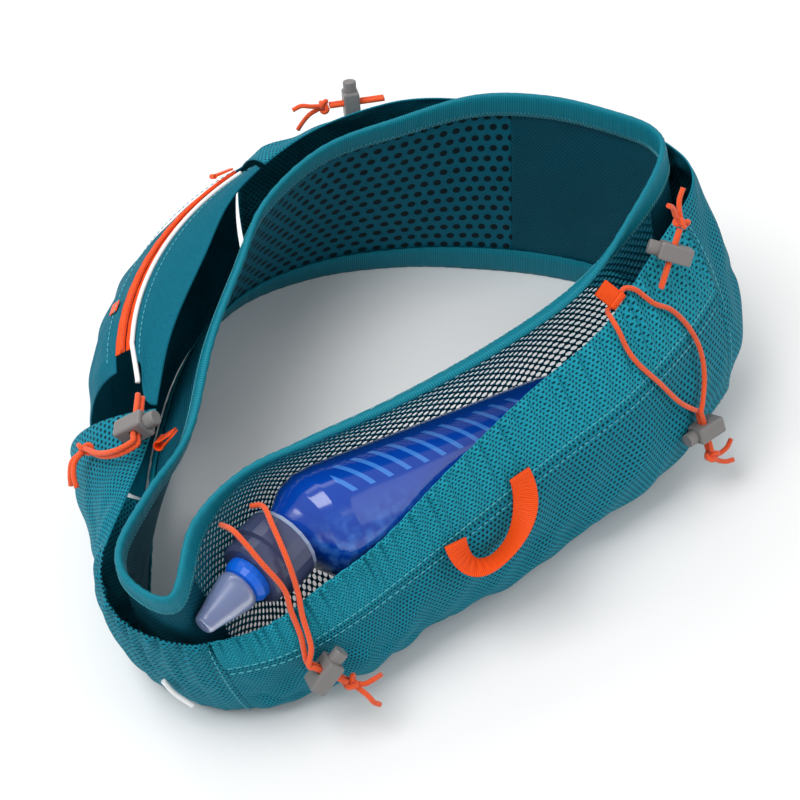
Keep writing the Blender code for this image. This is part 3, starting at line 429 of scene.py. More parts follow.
def outward(s):
    """Level unit vector out of the loop, square to the bottom edge."""
    ahead = spline(STATIONS[:, 3:5], np.asarray(s) + 0.25) - spline(STATIONS[:, 3:5], np.asarray(s) - 0.25)
    ahead = ahead / np.linalg.norm(ahead, axis=-1, keepdims=True)
    return np.stack([ahead[..., 1], -ahead[..., 0], np.zeros_like(ahead[..., 0])], -1)


def straight_wall(s, t):
    """The straight line from the bottom edge (t = 0) to the top edge (t = 1)."""
    row = spline(STATIONS, s)
    foot = np.concatenate([row[..., 3:5], np.zeros_like(row[..., :1])], -1)
    return foot + (row[..., 0:3] - foot) * np.asarray(t, float)[..., None]


def wall(s, t):
    """The inner wall: the straight wall less 4 t (1 - t) times the push, level, straight at both edges."""
    t = np.asarray(t, float)
    inside = np.clip(t, STRAIGHT_LOW, STRAIGHT_HIGH)
    ends = np.minimum(np.minimum(t / STRAIGHT_LOW, (1 - t) / (1 - STRAIGHT_HIGH)), 1)
    push = spline(STATIONS, s)[..., 5] * 4 * inside * (1 - inside) * ends
    return straight_wall(s, t) - outward(s) * push[..., None]


def zip_angle(s):
    """Direction from the zip's centre to the bottom edge at s."""
    foot = spline(STATIONS, s)[..., 3:5] - ZIP_CENTRE
    return np.arctan2(foot[..., 1], foot[..., 0])


def zip_point(angle, across=0.0, lift=0.0):
    """A point near the zip's arc: across it towards the wearer, and lifted off its face."""
    across, lift = np.asarray(across, float), np.asarray(lift, float)
    radius = ZIP_RADIUS - across * math.cos(ZIP_SLOPE) + lift * math.sin(ZIP_SLOPE)
    height = ZIP_HEIGHT + across * math.sin(ZIP_SLOPE) + lift * math.cos(ZIP_SLOPE)
    angle, radius, height = np.broadcast_arrays(angle, radius, height)
    x, y = ZIP_CENTRE[0] + radius * np.cos(angle), ZIP_CENTRE[1] + radius * np.sin(angle)
    return np.stack([x, y, height], -1)


def skin(s, q):
    """The outer pockets: a Bezier section from the bottom edge (q = 0) to the mouth (q = 1)."""
    q = np.asarray(q, float)
    row = spline(SECTIONS, s)
    t1, g1, t2, g2, t3, g3 = (row[..., i] for i in range(6))
    b0, b1, b2, b3 = (1 - q) ** 3, 3 * q * (1 - q) ** 2, 3 * q ** 2 * (1 - q), q ** 3
    t = b1 * t1 + b2 * t2 + b3 * t3 + b0 * FOOT_SHARE
    g = b0 * FOOT_GAP + b1 * g1 + b2 * g2 + b3 * g3
    return straight_wall(s, t) + outward(s) * g[..., None]


def skin_at_zip(s, q):
    """The outer pocket, drawn to the zip's arc from both sides by smooth steps."""
    s, q = np.broadcast_arrays(np.asarray(s, float), np.asarray(q, float))
    below = np.clip(q / COVER_EDGE, 0, 1)
    above = np.clip((q - BAND_EDGE) / (1 - BAND_EDGE), 0, 1)
    pull_below = (below ** 2 * (3 - 2 * below))[..., None]
    pull_above = (1 - above ** 2 * (3 - 2 * above))[..., None]
    to_cover = zip_point(zip_angle(s), -COVER_OFFSET) - skin(s, np.full_like(q, COVER_EDGE))
    to_band = zip_point(zip_angle(s), BAND_OFFSET) - skin(s, np.full_like(q, BAND_EDGE))
    return skin(s, q) + np.where((q <= COVER_EDGE)[..., None], pull_below * to_cover, pull_above * to_band)


def cell_mask(tree, uv, pitch_u, pitch_v, inner, outer):
    """1 inside each eyelet and 0 outside: distance from the middle of cells whose rows are staggered."""
    parts = add_node(tree, "SeparateXYZ", {0: uv})
    row = add_node(tree, "Math", {0: parts.outputs[1], 1: 1 / pitch_v}, operation="MULTIPLY")
    whole = add_node(tree, "Math", {0: row.outputs[0]}, operation="FLOOR")
    shift = add_node(tree, "Math", {0: whole.outputs[0], 1: 0.5}, operation="MULTIPLY")
    column = add_node(tree, "Math", {0: parts.outputs[0], 1: 1 / pitch_u, 2: shift.outputs[0]},
                      operation="MULTIPLY_ADD")
    x = add_node(tree, "Math", {0: column.outputs[0], 1: 1.0, 2: 0.0}, operation="WRAP")
    y = add_node(tree, "Math", {0: row.outputs[0]}, operation="FRACT")
    place = add_node(tree, "CombineXYZ", {0: x.outputs[0], 1: y.outputs[0]})
    far = add_node(tree, "VectorMath", {0: place.outputs[0], 1: (0.5, 0.5, 0.0)}, operation="DISTANCE")
    mask = add_node(tree, "MapRange", {"Value": far.outputs["Value"], "From Min": inner, "From Max": outer,
                                       "To Min": 1.0, "To Max": 0.0})
    return mask.outputs[0]


def knit_finish(name, colour, shade_colour, pitch=(0.0022, 0.0016), hole=(0.18, 0.34), sheen=0.35, creases=0.0012):
    """Knit cloth: eyelets painted as shaded holes, sunk into a face mottled by noise, over soft creases two
    centimetres apart.
    """
    made, tree, shader = finish_of(name, Roughness=0.7, Sheen_Weight=sheen, Sheen_Tint=linear("5FD3E8"),
                                   Specular_IOR_Level=0.12)
    uv = add_node(tree, "UVMap", uv_map="cloth")
    mask = cell_mask(tree, uv.outputs[0], *pitch, *hole)
    coords = add_node(tree, "TexCoord")
    soft = add_node(tree, "TexNoise", {"Vector": coords.outputs["Object"], "Scale": 45.0, "Detail": 3.0})
    fine = add_node(tree, "TexNoise", {"Vector": coords.outputs["Object"], "Scale": 900.0, "Detail": 1.0})
    tone = add_node(tree, "MapRange", {"Value": fine.outputs[0], "To Min": 0.72, "To Max": 1.28})
    face = add_node(tree, "VectorMath", {0: linear(colour)[:3]}, operation="SCALE")
    tree.links.new(tone.outputs[0], face.inputs["Scale"])
    # The eyelets take the second colour: painted shade in their holes.
    two_tone(tree, shader, mask, face.outputs[0], linear(shade_colour))
    crease = add_node(tree, "Bump", {"Height": soft.outputs[0], "Strength": 0.6, "Distance": creases})
    sunk = add_node(tree, "Bump", {"Height": mask, "Strength": 0.7, "Distance": 0.0003,
                                   "Normal": crease.outputs[0]}, invert=True)
    tree.links.new(sunk.outputs[0], shader.inputs["Normal"])
    return made


# Each knit's second colour is painted shade in its eyelets' holes.
outer_mesh = knit_finish("stretch_mesh_teal", "0F7F95", "001A22", pitch=(0.0027, 0.0020), hole=(0.20, 0.37),
                         sheen=0.08, creases=0.0045)
hem_mesh = knit_finish("hem_mesh_teal", "1A93A8", "00303A", pitch=(0.0024, 0.0018), hole=(0.18, 0.36),
                       sheen=0.12, creases=0.0035)
inner_cloth = knit_finish("inner_knit_teal", "004F62", "00222C", sheen=0.05, creases=0.0008)
vent_cloth = knit_finish("vent_knit_teal", "005D72", "00161C", pitch=(0.0085, 0.0080), hole=(0.27, 0.33),
                         sheen=0.05, creases=0.0006)
cover_cloth = knit_finish("zip_cover_cloth_teal", "006A80", "00404E", pitch=(0.0012, 0.0010), sheen=0.06,
                          creases=0.0020)
CLOTH = 0.0009
WALL_SPAN = (0.016, 0.989)  # shares of the wall's height between which its panels lie
QUICK_STEP = 1.0


def surface_grid(surface, s_range, q_range, spacing):
    """Points, outward normals and metre coordinates on a surface, at an even spacing."""
    middle = sum(q_range) / 2
    along = surface(np.linspace(*s_range, 60), np.full(60, middle))
    up = surface(np.full(60, sum(s_range) / 2), np.linspace(*q_range, 60))
    length = float(np.linalg.norm(np.diff(along, axis=0), axis=1).sum())
    height = float(np.linalg.norm(np.diff(up, axis=0), axis=1).sum())
    columns = max(6, round(length / spacing)) + 1
    rows = max(5, round(height / spacing)) + 1
    q, s = np.meshgrid(np.linspace(*q_range, rows), np.linspace(*s_range, columns), indexing="ij")
    points = surface(s, q)
    normal = np.cross(np.gradient(points, axis=1), np.gradient(points, axis=0))
    normal /= np.maximum(np.linalg.norm(normal, axis=-1, keepdims=True), 1e-12)
    length = float(np.linalg.norm(np.diff(points, axis=1), axis=2).sum(1).mean())
    height = float(np.linalg.norm(np.diff(points, axis=0), axis=2).sum(0).mean())
    u = (s - s_range[0]) / (s_range[1] - s_range[0]) * length
    v = (q - q_range[0]) / (q_range[1] - q_range[0]) * height
    return points, normal, u, v, length, height


def thicken(made, thickness):
    """Gives a sheet its thickness, half to each side."""
    solid = made.modifiers.new("Thickness", "SOLIDIFY")
    solid.thickness = thickness
    solid.offset = 0


def cloth_panel(name, surface, s_range, q_range, finish, node, relief, spacing=0.0017):
    """A panel: its surface, moved along its normal by relief(u, v, length, height), and given a thickness."""
    points, normal, u, v, length, height = surface_grid(surface, s_range, q_range, spacing * QUICK_STEP)
    points = points + normal * relief(u, v, length, height)[..., None]
    made = grid_object(name, points, finish, uv=np.stack([u, v], -1))
    thicken(made, CLOTH)
    fasten(made, "belt", node)


def edge_fade(v, height, reach):
    """0 at both edges, rising to 1 over the reach."""
    return np.clip(np.minimum(v, height - v) / reach, 0, 1)


def gathers(depth, pitch, seed):
    """Relief of gathered cloth: uneven folds across the panel, deepest near its mouth."""
    def relief(u, v, length, height):
        shift = 0.35 * np.sin(2 * math.pi * (u / (pitch * 5.3) + seed)) + 0.18 * np.sin(v / 0.009 + seed * 7)
        fold = np.sin(2 * math.pi * (u / pitch + shift))
        fold += 0.5 * np.sin(2 * math.pi * (u / (pitch * 0.53) + seed))
        return depth * fold * (0.25 + 0.75 * (v / height) ** 2) * edge_fade(v, height, 0.004)
    return relief


def bellies(depth, seed):
    """Relief of a loosely held outer panel: long shallow waves that run a little aslant."""
    def relief(u, v, length, height):
        wave = np.sin(u / 0.021 + 1.3 * np.sin(v / 0.026 + seed)) * np.sin(v / 0.017 + 0.8 * seed + u / 0.06)
        small = 0.5 * np.sin(u / 0.0055 + 2.1 * np.sin(v / 0.019 + seed))
        small *= np.sin(v / 0.009 + u / 0.08 + seed)
        crease = -0.5 * np.exp(-(np.sin(u / 0.034 + v / 0.021 + seed) / 0.22) ** 2)
        return depth * (wave + small + crease) * edge_fade(v, height, 0.012) * edge_fade(u, length, 0.010)
    return relief


cloth_panel("side_knit_cloth", wall, (8.5, 12.5), WALL_SPAN, inner_cloth, "side_knit_panel",
            bellies(0.0005, 1))
cloth_panel("front_vent_cloth", wall, (12.5, 16.5), WALL_SPAN, vent_cloth, "front_vent_panel",
            bellies(0.0004, 2))
cloth_panel("end_knit_cloth", wall, (19.5, 23.5), WALL_SPAN, inner_cloth, "end_knit_panel",
            bellies(0.0004, 3))
cloth_panel("flask_pocket_cloth", skin, (1.35, 8.35), (0.0, 0.719), outer_mesh, "flask_pocket_panel",
            bellies(0.0024, 1))
cloth_panel("flask_pocket_hem_cloth", skin, (1.35, 8.35), (0.721, 1.0), hem_mesh, "flask_pocket_hem",
            gathers(0.0017, 0.0085, 0.3), spacing=0.0011)
cloth_panel("side_pocket_cloth", skin, (8.35, 12.6), (0.0, 1.0), outer_mesh, "side_pocket_panel",
            bellies(0.0024, 4))
cloth_panel("front_pocket_cloth", skin, (12.6, 15.66), (0.0, 1.0), outer_mesh, "front_pocket_panel",
            bellies(0.0022, 5))
cloth_panel("zip_cover", skin_at_zip, (15.73, 18.68), (0.0, COVER_EDGE), cover_cloth, "zip_pocket_cover",
            bellies(0.0020, 6))
cloth_panel("zip_band", skin_at_zip, (15.73, 18.68), (BAND_EDGE, 1.0), cover_cloth, "zip_pocket_band",
            gathers(0.0003, 0.007, 0.6), spacing=0.0012)
cloth_panel("left_side_cloth", skin, (18.72, 20.7), (0.0, 1.0), outer_mesh, "left_side_panel",
            bellies(0.0020, 7))
cloth_panel("end_pocket_cloth", skin, (20.7, 23.35), (0.0, 1.0), outer_mesh, "end_pocket_panel",
            gathers(0.0015, 0.011, 0.1), spacing=0.0013)


# ---------------------------------------------------------------- open netting
# Power netting knitted from teal yarn, behind the flask and behind the zip. Its openings are real holes in a
# lattice of diamonds 5.8 mm wide and 5 mm high.
CELL, CELL_ROW, HOLE, YARN, SAME_POINT = 0.0058, 0.0025, 0.624, 0.0007, 0.00005
net_cord, _, _ = finish_of("netting_yarn_teal", Base_Color=linear("006075"), Roughness=0.6,
                           Specular_IOR_Level=0.2)


def netting(name, s_range, node):
    """Diamonds that tile the wall, each with an oval hole: eight points on its edge and eight round the hole.
    Points nearer than SAME_POINT are joined, and faces that vanish at the panel's edges are left out."""
    _, _, _, _, length, height = surface_grid(wall, s_range, WALL_SPAN, 0.01)
    columns, rows = round(length / CELL), round(height / CELL_ROW)
    i, j = np.meshgrid(np.arange(columns + 1), np.arange(rows + 1), indexing="ij")
    centre = np.stack([(i + 0.5 * (j % 2)) * length / columns, j * height / rows], -1).reshape(-1, 1, 2)
    turn = math.pi / 4 * np.arange(8)
    half = np.array([CELL / 2, height / rows])
    rim = np.stack([np.cos(turn), np.sin(turn)], -1)
    rim[1::2] = 0.5 * np.sign(rim[1::2])
    hole = HOLE * np.stack([np.cos(turn), np.sin(turn)], -1)
    points = np.concatenate([centre + rim * half, centre + hole * half], 1)
    points = np.clip(points, 0, (length, height))
    s = s_range[0] + points[..., 0] / length * (s_range[1] - s_range[0])
    q = WALL_SPAN[0] + points[..., 1] / height * (WALL_SPAN[1] - WALL_SPAN[0])
    place = wall(s, q).reshape(-1, 3)
    cell = 16 * np.arange(len(centre))[:, None, None]
    k = np.arange(8)
    quad = np.stack([k, (k + 1) % 8, (k + 1) % 8 + 8, k + 8], -1)[None] + cell
    key = np.round(place / SAME_POINT).astype(np.int64)
    _, first, same = np.unique(key, axis=0, return_index=True, return_inverse=True)
    quads = same.reshape(-1)[quad.reshape(-1, 4)]
    distinct = (np.diff(np.sort(quads, 1), axis=1) > 0).all(1)
    mesh = bpy.data.meshes.new(name)
    mesh.from_pydata(place[first].tolist(), [], quads[distinct].tolist())
    mesh.validate()
    mesh.shade_smooth()
    made = bpy.data.objects.new(name, mesh)
    bpy.context.scene.collection.objects.link(made)
    mesh.materials.append(net_cord)
    thicken(made, YARN)
    fasten(made, "belt", node)


netting("back_netting", (1.5, 8.5), "back_net_panel")
netting("left_netting", (16.5, 19.5), "left_net_panel")


# ---------------------------------------------------------------- binding and bottom band
# Elastic tape folded over the loop's top edge, and a hem of the same tape under its bottom edge. A zigzag
# of thread holds each leg of the binding.
TAPE_OUT, TAPE_THICK, THREAD = 0.0015, 0.0010, 0.00018


def ribbed_finish(name, colour, shade_colour, pitch):
    """Woven tape: fine ribs at an even pitch, as relief and a small change of colour: painted shade in the
    valleys between the ribs.
    """
    made, tree, shader = finish_of(name, Roughness=0.55, Specular_IOR_Level=0.2)
    uv = add_node(tree, "UVMap", uv_map="cloth")
    parts = add_node(tree, "SeparateXYZ", {0: uv.outputs[0]})
    wave = add_node(tree, "Math", {0: parts.outputs[0], 1: 2 * math.pi / pitch}, operation="MULTIPLY")
    rib = add_node(tree, "Math", {0: wave.outputs[0]}, operation="SINE")
    level = add_node(tree, "MapRange", {"Value": rib.outputs[0], "From Min": -1.0, "From Max": 1.0})
    # Darker in the valleys between the ribs: painted shade.
    two_tone(tree, shader, level.outputs[0], linear(shade_colour), linear(colour))
    relief_of(tree, shader, level.outputs[0], 0.6, 0.0002)
    return made


# The second colour is painted shade between the tape's ribs.
elastic_tape = ribbed_finish("folded_elastic_teal", "058BA0", "005F70", 0.0011)
thread, _, _ = finish_of("sewing_thread_teal", Base_Color=linear("55B4C2"), Roughness=0.5)


def wall_normal(s, t):
    """Unit vector square to the inner wall, pointing out of the loop."""
    along = wall(s + 0.05, t) - wall(s - 0.05, t)
    up = wall(s, t + 0.004) - wall(s, t - 0.004)
    normal = np.cross(along, up)
    return normal / np.linalg.norm(normal, axis=-1, keepdims=True)


def loop_length(t):
    """Length of the loop at a share of the wall's height."""
    line = wall(np.linspace(0, 22, 900), np.full(900, t))
    return float(np.linalg.norm(np.diff(line, axis=0), axis=1).sum())


def folded_tape(name, shares, outs, node, seed):
    """Tape round the loop's edge: an outer leg at shares of the wall's height, outs times TAPE_OUT off the
    wall, then an inner leg that comes back the same way. Small ripples run along it."""
    shares, outs = shares + shares[::-1], outs + [-out for out in outs[::-1]]
    length = loop_length(shares[0])
    columns = round(length / (0.0016 * QUICK_STEP))
    s, k = np.meshgrid(22 * np.arange(columns) / columns, np.arange(len(shares)), indexing="ij")
    t, out = np.array(shares)[k], TAPE_OUT * np.array(outs)[k]
    ripple = 1 + 0.10 * np.sin(s * 31 + seed) + 0.06 * np.sin(s * 57 + 2 * seed)
    normal = wall_normal(s, t)
    points = wall(s, t) + normal * (out * ripple)[..., None]
    run = np.concatenate([[0], np.cumsum(np.linalg.norm(np.diff(points[0], axis=0), axis=1))])
    uv = np.stack(np.broadcast_arrays(length * s / 22, run[None, :]), -1)
    made = grid_object(name, points, elastic_tape, True, False, uv)
    thicken(made, TAPE_THICK)
    fasten(made, "belt", node)


leg_shares, leg_outs = [0.90, 0.925, 0.95, 0.975, 0.993, 1.0], [0.95, 1, 1, 1, 0.8, 0.35]
folded_tape("edge_binding", leg_shares, leg_outs, "top_binding", 1)
hem_shares, hem_outs = [0.14, 0.10, 0.07, 0.03, 0.008], [1, 1, 1, 1, 0.7]
folded_tape("bottom_hem", hem_shares, hem_outs, "bottom_band", 2)


def zigzag(name, share, out, height, pitch):
    """Thread that runs up and down the binding's leg as it goes round the loop."""
    count = round(loop_length(share) / pitch / QUICK_STEP) * 2
    s = 22 * np.arange(count) / count
    t = share + np.where(np.arange(count) % 2, height, -height)
    points = wall(s, t) + wall_normal(s, t) * out
    made = tube(name, points, THREAD, thread, 5, closed=True)
    fasten(made, "belt")


zigzag("binding_stitch_inside", 0.912, -0.0022, 0.010, 0.0024)
zigzag("binding_stitch_outside", 0.912, 0.0022, 0.010, 0.0024)


# ---------------------------------------------------------------- seams
# Rows of light thread: along the hem of the flask pocket, down both ends of each pocket, and beside the zip.
STITCH, STITCH_GAP, STITCH_STEP, STITCH_RADIUS = 0.0028, 0.0012, 0.0007, 0.00024


def stitch_row(name, points):
    """Short bars of thread laid end to end along a line, each a little bent tube."""
    path = smooth_path(points, STITCH_STEP)
    per = round((STITCH + STITCH_GAP) / STITCH_STEP)
    keep = round(STITCH / STITCH_STEP)
    rings = 6
    ahead, side, up = path_frames(path)
    starts = np.arange(0, len(path) - per, per)
    index = starts[:, None] + np.arange(keep + 1)[None]
    turn = 2 * math.pi * np.arange(rings) / rings
    size = STITCH_RADIUS * np.where(np.arange(keep + 1) % keep == 0, 0.5, 1.0)
    ring = (np.cos(turn)[None, None, :, None] * side[index][:, :, None]
            + np.sin(turn)[None, None, :, None] * up[index][:, :, None])
    points = path[index][:, :, None] + size[None, :, None, None] * ring
    one = np.arange((keep + 1) * rings).reshape(keep + 1, rings)
    quad = np.stack([one[:-1], np.roll(one[:-1], -1, 1), np.roll(one[1:], -1, 1), one[1:]], -1).reshape(-1, 4)
    quads = (quad[None] + (np.arange(len(starts)) * (keep + 1) * rings)[:, None, None]).reshape(-1, 4)
    caps = [list(range(rings))[::-1], [keep * rings + i for i in range(rings)]]
    ends = [[(keep + 1) * rings * k + i for i in cap] for k in range(len(starts)) for cap in caps]
    mesh = bpy.data.meshes.new(name)
    mesh.from_pydata(points.reshape(-1, 3).tolist(), [], quads.tolist() + ends)
    mesh.shade_smooth()
    made = bpy.data.objects.new(name, mesh)
    bpy.context.scene.collection.objects.link(made)
    mesh.materials.append(thread)
    fasten(made, "belt")


def on_skin(surface, s, q, lift):
    """Points lifted off a pocket's outer face."""
    s, q = np.broadcast_arrays(np.asarray(s, float), np.asarray(q, float))
    along, up = surface(s + 0.02, q) - surface(s - 0.02, q), surface(s, q + 0.01) - surface(s, q - 0.01)
    normal = np.cross(along, up)
    return surface(s, q) + lift * normal / np.linalg.norm(normal, axis=-1, keepdims=True)


for name, share, lift in (("hem_stitch_low", 0.70, 0.0022), ("hem_stitch_high", 0.745, 0.0018)):
    stitch_row(name, on_skin(skin, np.linspace(1.4, 8.3, 60), np.full(60, share), lift))
for name, station, lift in (
    ("side_pocket_stitch", 8.42, 0.0012), ("front_pocket_stitch", 12.68, 0.0012),
    ("end_pocket_stitch", 23.28, 0.0014), ("left_side_stitch", 20.62, 0.0012),
):
    stitch_row(name, on_skin(skin, np.full(20, station), np.linspace(0.04, 0.97, 20), lift))
for name, share, lift in (("cover_stitch", 0.745, 0.0016), ("band_stitch", 0.865, 0.0010)):
    stitch_row(name, on_skin(skin_at_zip, np.linspace(15.8, 18.6, 40), np.full(40, share), lift))


# ---------------------------------------------------------------- zip
# Two woven tapes with a coil of nylon between them, moulded slider and puller, and a white reflective piping
# sewn above.
ZIP_START, ZIP_END, ZIP_TAPE = 98.5, 147.5, 0.0006
COIL_PITCH, COIL_WIRE, COIL_HALF, COIL_RISE = 0.0013, 0.00034, 0.0013, 0.0009
# The second colour is painted shade between the webbing's ribs.
orange_tape = ribbed_finish("orange_webbing_weave", "FF5A14", "DB3F08", 0.0009)
white_tape, _, _ = finish_of("reflective_piping_white", Base_Color=linear("F2F2F2"), Roughness=0.35)


def zip_strip(name, low, high, node, seed):
    """A tape along the zip's arc, between two distances across it."""
    angle = np.radians(np.linspace(ZIP_START, ZIP_END, round(140 / QUICK_STEP)))
    across = np.linspace(low, high, 4)
    a, w = np.meshgrid(angle, across, indexing="ij")
    points = zip_point(a, w, 0.0003 + 0.0001 * np.sin(a * 90 + seed))
    uv = np.stack([a * ZIP_RADIUS, w], -1)
    made = grid_object(name, points, orange_tape, uv=uv)
    thicken(made, ZIP_TAPE)
    fasten(made, "belt", node)


zip_strip("zip_tape_upper", 0.0018, 0.0050, "zip_tape_inner", 0)
zip_strip("zip_tape_lower", -0.0050, -0.0018, "zip_tape_outer", 1)

coil_finish, _, _ = finish_of("nylon_coil_orange", Base_Color=linear("FF5A10"), Roughness=0.35)
coil_arc = math.radians(ZIP_END - ZIP_START)
turns = round(coil_arc * ZIP_RADIUS / COIL_PITCH / QUICK_STEP)
coil_turn = np.linspace(0, 2 * math.pi * turns, turns * 10)
coil_path = zip_point(math.radians(ZIP_START) + coil_arc * coil_turn / coil_turn[-1],
                      COIL_HALF * np.cos(coil_turn), 0.0012 + COIL_RISE * np.sin(coil_turn))
coil = tube("nylon_coil", coil_path, COIL_WIRE, coil_finish, 6)
fasten(coil, "belt", "zip_coil")

piping_path = list(zip_point(np.radians(np.linspace(ZIP_START, 147.0, 60)), 0.0062, 0.0008))
piping_path += [np.array([-0.1345, 0.0490, 0.1165]), np.array([-0.1362, 0.0462, 0.1160])]
piping = tube("white_piping", smooth_path(piping_path, 0.0016), 0.00135, white_tape)
fasten(piping, "belt", "reflective_piping")
end_path = smooth_path([(-0.2040, -0.0700, 0.0420), (-0.2010, -0.0740, 0.0330), (-0.1950, -0.0800, 0.0230)],
                       0.0012)
end_white = tube("white_end_piping", end_path, 0.0014, white_tape)
fasten(end_white, "belt", "end_piping")


# ---------------------------------------------------------------- plain patch
# A small blank rubber patch stuck on the zip pocket's cover.
patch_finish, _, _ = finish_of("plain_patch_orange", Base_Color=linear("FF5510"), Roughness=0.5)
s_grid, q_grid = np.meshgrid(np.linspace(17.84, 17.96, 9), np.linspace(0.71, 0.75, 7), indexing="ij")
patch = grid_object("plain_patch", on_skin(skin_at_zip, s_grid, q_grid, 0.0013), patch_finish)
patch.modifiers.new("Thickness", "SOLIDIFY").thickness = 0.0006
fasten(patch, "belt")


# ---------------------------------------------------------------- webbing
# Orange webbing: a loop on the hem's seam, with half a turn in it, and two small tabs folded round the cord.
def ribbon(name, middle, across, width, thick, finish):
    """A flat strap along a path: an oblong section with rounded edges, its width along `across`."""
    ahead = np.gradient(middle, axis=0)
    ahead /= np.linalg.norm(ahead, axis=1, keepdims=True)
    across = across - ahead * (across * ahead).sum(1, keepdims=True)
    across /= np.linalg.norm(across, axis=1, keepdims=True)
    off = np.cross(ahead, across)
    turn = np.linspace(-math.pi / 2, math.pi / 2, 5)
    x = np.concatenate([width / 2 - thick / 2 + thick / 2 * np.cos(turn),
                        -width / 2 + thick / 2 - thick / 2 * np.cos(turn)])
    y = np.concatenate([thick / 2 * np.sin(turn), -thick / 2 * np.sin(turn)])
    points = middle[:, None] + x[None, :, None] * across[:, None] + y[None, :, None] * off[:, None]
    run = np.concatenate([[0], np.cumsum(np.linalg.norm(np.diff(middle, axis=0), axis=1))])
    uv = np.stack(np.broadcast_arrays(run[:, None], x[None, :]), -1)
    points = np.concatenate([points[:1].mean(1, keepdims=True).repeat(len(x), 1), points,
                             points[-1:].mean(1, keepdims=True).repeat(len(x), 1)])
    uv = np.concatenate([uv[:1], uv, uv[-1:]])
    return grid_object(name, points, finish, False, True, uv), float(run[-1])


WEBBING, WEBBING_WIDTH = 0.0015, 0.013
feet = np.array([[-0.0070, -0.1080, 0.0930], [-0.0533, -0.1135, 0.0787]])
pull = np.array([0.0040, -0.0200, -0.0300])
t = np.linspace(0, 1, 60)[:, None]
b, c = feet[0] + pull, feet[1] + pull * (-1, 1, 1)
loop_line = feet[0] * (1 - t) ** 3 + b * 3 * t * (1 - t) ** 2 + c * 3 * t ** 2 * (1 - t) + feet[1] * t ** 3
loop_across = unit(feet[0] - feet[1]) * np.cos(math.pi * t) + np.array([0, -0.87, 0.5]) * np.sin(math.pi * t)
strap, strap_length = ribbon("webbing_strap", loop_line, loop_across, WEBBING_WIDTH, WEBBING, orange_tape)
fasten(strap, "loop", "webbing_loop")


TAB, TAB_WIDTH = 0.0009, 0.0100


def folded_tab(name, root, along, width_axis, length, node):
    """A tab that runs out from its root, round the cord and back."""
    x = unit(along)
    z = unit(np.asarray(width_axis, float) - x * (np.asarray(width_axis, float) @ x))
    y = np.cross(z, x)
    bend = CORD / 2 + TAB
    eye = np.asarray(root, float) + x * (length - bend - 0.0005)
    turn = np.radians(np.linspace(140, -140, 22))
    round_eye = eye + bend * (np.cos(turn)[:, None] * x + np.sin(turn)[:, None] * y)
    line = smooth_path(np.vstack([root + 0.0006 * y, round_eye, root - 0.0006 * y]), 0.0006)
    made, _ = ribbon(name, line, np.broadcast_to(z, line.shape), TAB_WIDTH, TAB, orange_tape)
    fasten(made, "belt", node)


folded_tab("side_tab", tab_root, tab_along, tab_across, 0.0145, "cord_tab_side")
folded_tab("left_tab", np.array([-0.1420, 0.0020, 0.1210]), (-0.6, 0.3, -0.6), (0.61, 0.52, -0.40), 0.0120,
           "cord_tab_left")


# ---------------------------------------------------------------- soft flask
# A 500 ml flask of thin glossy film. Its printed side has light slashes, and its lower half is frosted.
# Each row: distance along the axis from the neck, radius, and turn from the body's axis to the cap's.
NECK = np.array([-0.122, -0.067, 0.091])
BODY_AXIS, CAP_AXIS = unit((-1.0, 0.06, 0.175)), unit((-1.0, -0.28, -0.01))
FLASK = np.array([
    [-0.196, 0.0005, 0], [-0.196, 0.018, 0], [-0.192, 0.0255, 0], [-0.184, 0.0290, 0], [-0.170, 0.0295, 0],
    [-0.100, 0.0295, 0], [-0.034, 0.0295, 0], [-0.024, 0.0293, 0], [-0.016, 0.0280, 0.2],
    [-0.010, 0.0245, 0.45], [-0.005, 0.0190, 0.7], [0.0012, 0.0135, 1], [0.0150, 0.0135, 1],
    [0.0150, 0.0005, 1],
])
step = np.linspace(0, len(FLASK) - 1, round(150 / QUICK_STEP))
along, radius, tilt = (np.interp(step, np.arange(len(FLASK)), FLASK[:, i]) for i in range(3))
axis = BODY_AXIS + (CAP_AXIS - BODY_AXIS) * tilt[:, None]
axis /= np.linalg.norm(axis, axis=1, keepdims=True)
middle = NECK + np.where(along[:, None] <= 0, BODY_AXIS, CAP_AXIS) * along[:, None]
side = np.cross(axis, (0, 0, 1))
side /= np.linalg.norm(side, axis=1, keepdims=True)
up = np.cross(side, axis)
turn = np.linspace(0, 2 * math.pi, 73)[:-1]
dents = 1 - 0.012 * (np.sin(3 * turn + 1)[None] * np.sin(along / 0.021)[:, None]) ** 2
ring = np.cos(turn)[None, :, None] * side[:, None] + np.sin(turn)[None, :, None] * up[:, None]
flask_points = middle[:, None] + (radius[:, None] * dents)[..., None] * ring
film, tree, shader = finish_of("flask_film_blue", Roughness=0.16, Coat_Weight=0.4)
uv_node = add_node(tree, "UVMap", uv_map="cloth")
parts_node = add_node(tree, "SeparateXYZ", {0: uv_node.outputs[0]})
slant = add_node(tree, "Math", {0: parts_node.outputs[1], 1: 0.55, 2: parts_node.outputs[0]},
                 operation="MULTIPLY_ADD")
repeat = add_node(tree, "Math", {0: slant.outputs[0], 1: 1 / 0.011}, operation="MULTIPLY")
saw = add_node(tree, "Math", {0: repeat.outputs[0]}, operation="FRACT")
slash = add_node(tree, "Math", {0: saw.outputs[0], 1: 0.30}, operation="LESS_THAN")
in_band = add_node(tree, "Math", {0: parts_node.outputs[1], 1: 0.046, 2: 0.010}, operation="COMPARE")
on_body = add_node(tree, "Math", {0: parts_node.outputs[0], 1: -0.085, 2: 0.062}, operation="COMPARE")
both = add_node(tree, "Math", {0: in_band.outputs[0], 1: on_body.outputs[0]}, operation="MULTIPLY")
printed = add_node(tree, "Math", {0: both.outputs[0], 1: slash.outputs[0]}, operation="MULTIPLY")
